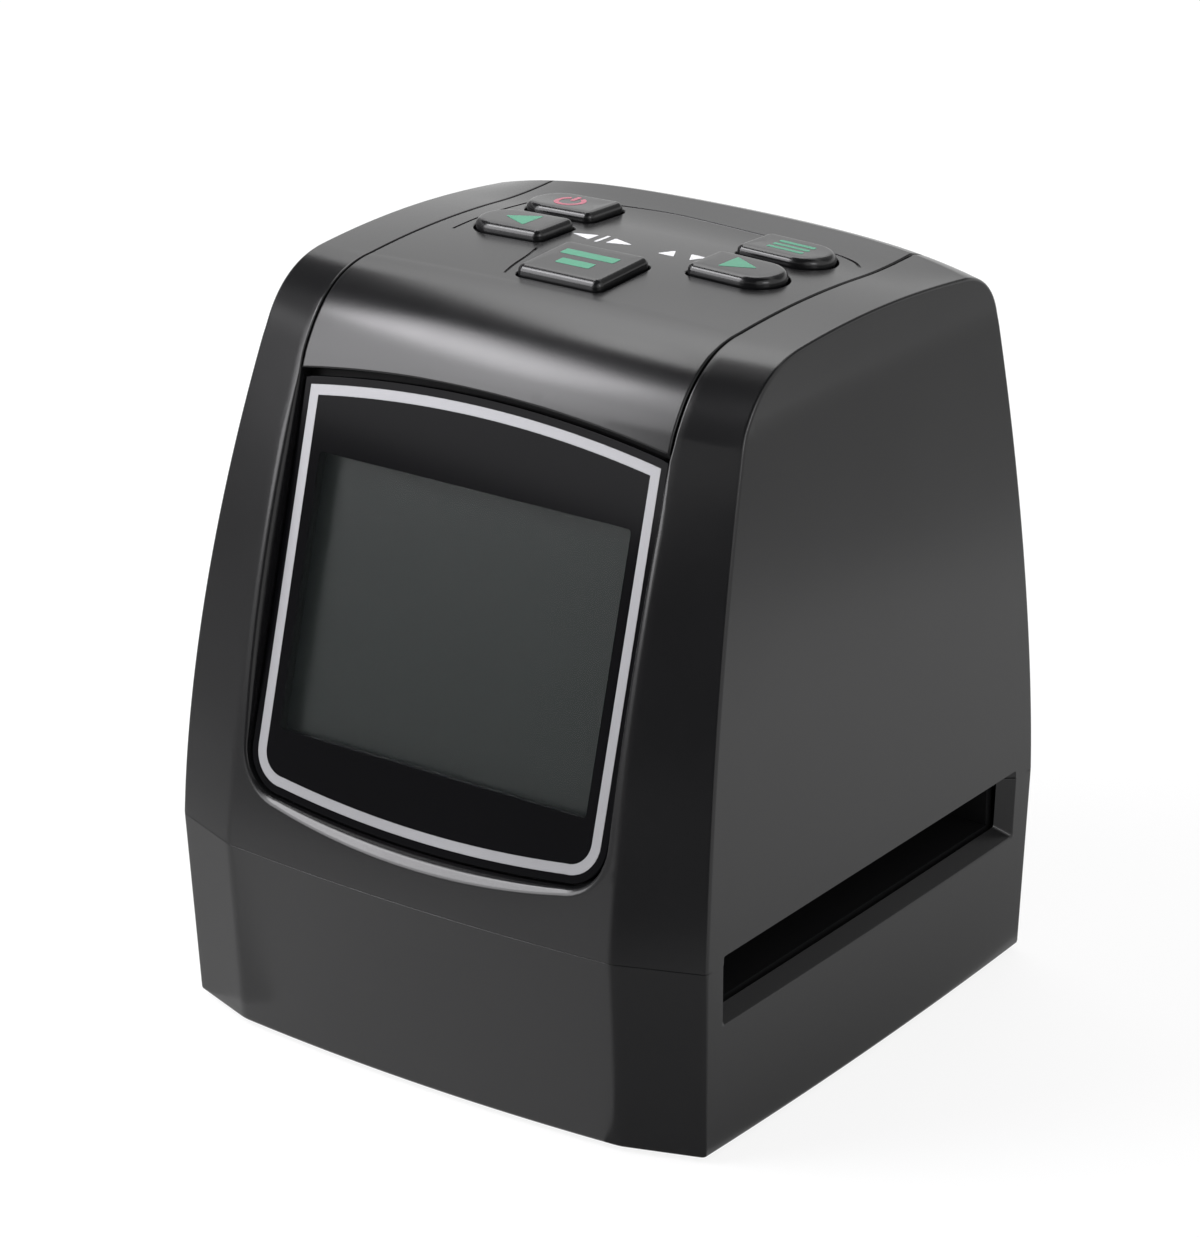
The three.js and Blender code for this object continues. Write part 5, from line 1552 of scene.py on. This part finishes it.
def camera():
    """The photograph's camera: focal length and optical centre in pixels of the picture."""
    back, roll, distance = way_to(35.71, 22.21), math.radians(0.13), 628.0
    target = Vector((0, 1.95, 49.8))
    focal, centre, picture = 4609, (612.8, 642.1), (1200, 1237)
    data = bpy.data.cameras.new("photo_camera")
    data.sensor_width = 36
    data.lens = focal * data.sensor_width / max(picture)
    data.shift_x = (picture[0] / 2 - centre[0]) / max(picture)
    data.shift_y = (centre[1] - picture[1] / 2) / max(picture)
    piece = add_object("photo_camera", data)
    piece.location = (target + back * distance) * MM
    facing = (-back).to_track_quat("-Z", "Y").to_matrix()
    piece.rotation_euler = (facing @ Matrix.Rotation(-roll, 3, "Z")).to_euler()
    bpy.context.scene.camera = piece


floor()
surround()

# Cards: places in metres or degrees, then the shade or one for each corner
# near_mat, beside_mat and beyond_mat are darker towards the object: painted shade of the floor beside it,
# seen only in reflections
card("near_mat", on_floor((0.03, -0.036), (0.06, -0.036), (0.17, -0.15), (0.008, -0.15)),
     (0.3, 0.3, 0.5, 0.5))
card("front_mat", on_floor((0.008, -0.15), (0.17, -0.15), (0.5, -0.6), (-0.1, -0.6)), 0.12)
card("beside_mat", on_floor((0.044, -0.1), (0.09, -0.1), (0.09, 0.25), (0.044, 0.25)), (0.36, 0.66, 1.0, 0.6))
card("beyond_mat", on_floor((0.09, -0.1), (0.16, -0.1), (0.16, 0.35), (0.09, 0.35)), (0.75, 1.05, 1.1, 0.95))
card("left_near_mat", on_floor((-0.046, -0.034), (-0.19, 0.0), (-0.16, -0.125), (-0.032, -0.047)),
     (0.72, 0.47, 0.47, 0.72))
card("side_mat", fan((115, 165), (0.3, 1.2)), 0.6)
card("left_mat", fan((-125, -72), (0.12, 0.8)), 0.34)
card("far_mat", fan((-72, -16), (0.2, 0.9)), 0.42)
for name, azimuth, elevation, width, height, shade in (
        ("front_card", 14, 4, 0.62, 0.4, 0.05), ("front_high_card", 12, 44, 0.55, 0.5, 0.03),
        ("rear_card", 160, 38, 0.75, 0.44, 0.32), ("left_card", -90, 6, 1.0, 0.4, 0.32)):
    hung_card(name, azimuth, elevation, width, height, shade)
card("overhead_card", [(x, y, 0.55) for x, y in ((-0.18, -0.45), (0.35, -0.45), (0.35, 0.12), (-0.18, 0.12))],
     0.02)
card("ceiling_card",
     ways((-126, 38), (-112, 51), (-86, 61.5), (-70, 67.5), (-41, 62), (-41, 44), distance=CARD_DISTANCE),
     0.03)
card("left_high_card", ways((-127, 36), (-90, 54), (-64, 51), (-66, 27), (-116, 25), distance=0.72), 0.03)
card("rear_low_glow", ways((-170, 27), (-121, 27), (-123, 41), (-170, 41), distance=GLOW_DISTANCE),
     (1.12, 1.12, 2.2, 2.2))
card("rear_glow", ways((-170, 41), (-123, 41), (-110, 53), (-165, 58), distance=GLOW_DISTANCE),
     (2.2, 2.2, 4.1, 3.6))
card("high_glow",
     ways((-165, 58), (-110, 53), (-86, 62), (-70, 68), (-110, 80), (-165, 72), distance=GLOW_DISTANCE),
     (3.6, 4.1, 7.6, 8.5, 8.5, 5.0))

# Soft boxes: azimuth, elevation, distance, size and power
lamp("key", -43, 29, 0.6, (0.36, 0.47), 2.7)
lamp("key_top", -52, 47.2, 0.58, (0.25, 0.14), 1.12)
lamp("rear", -142, 45, 1.0, (0.9, 0.54), 3.6)
lamp("side", 72, 24, 1.0, (0.3, 0.34), 1.4)
camera()
bpy.context.scene.view_settings.view_transform = "Standard"
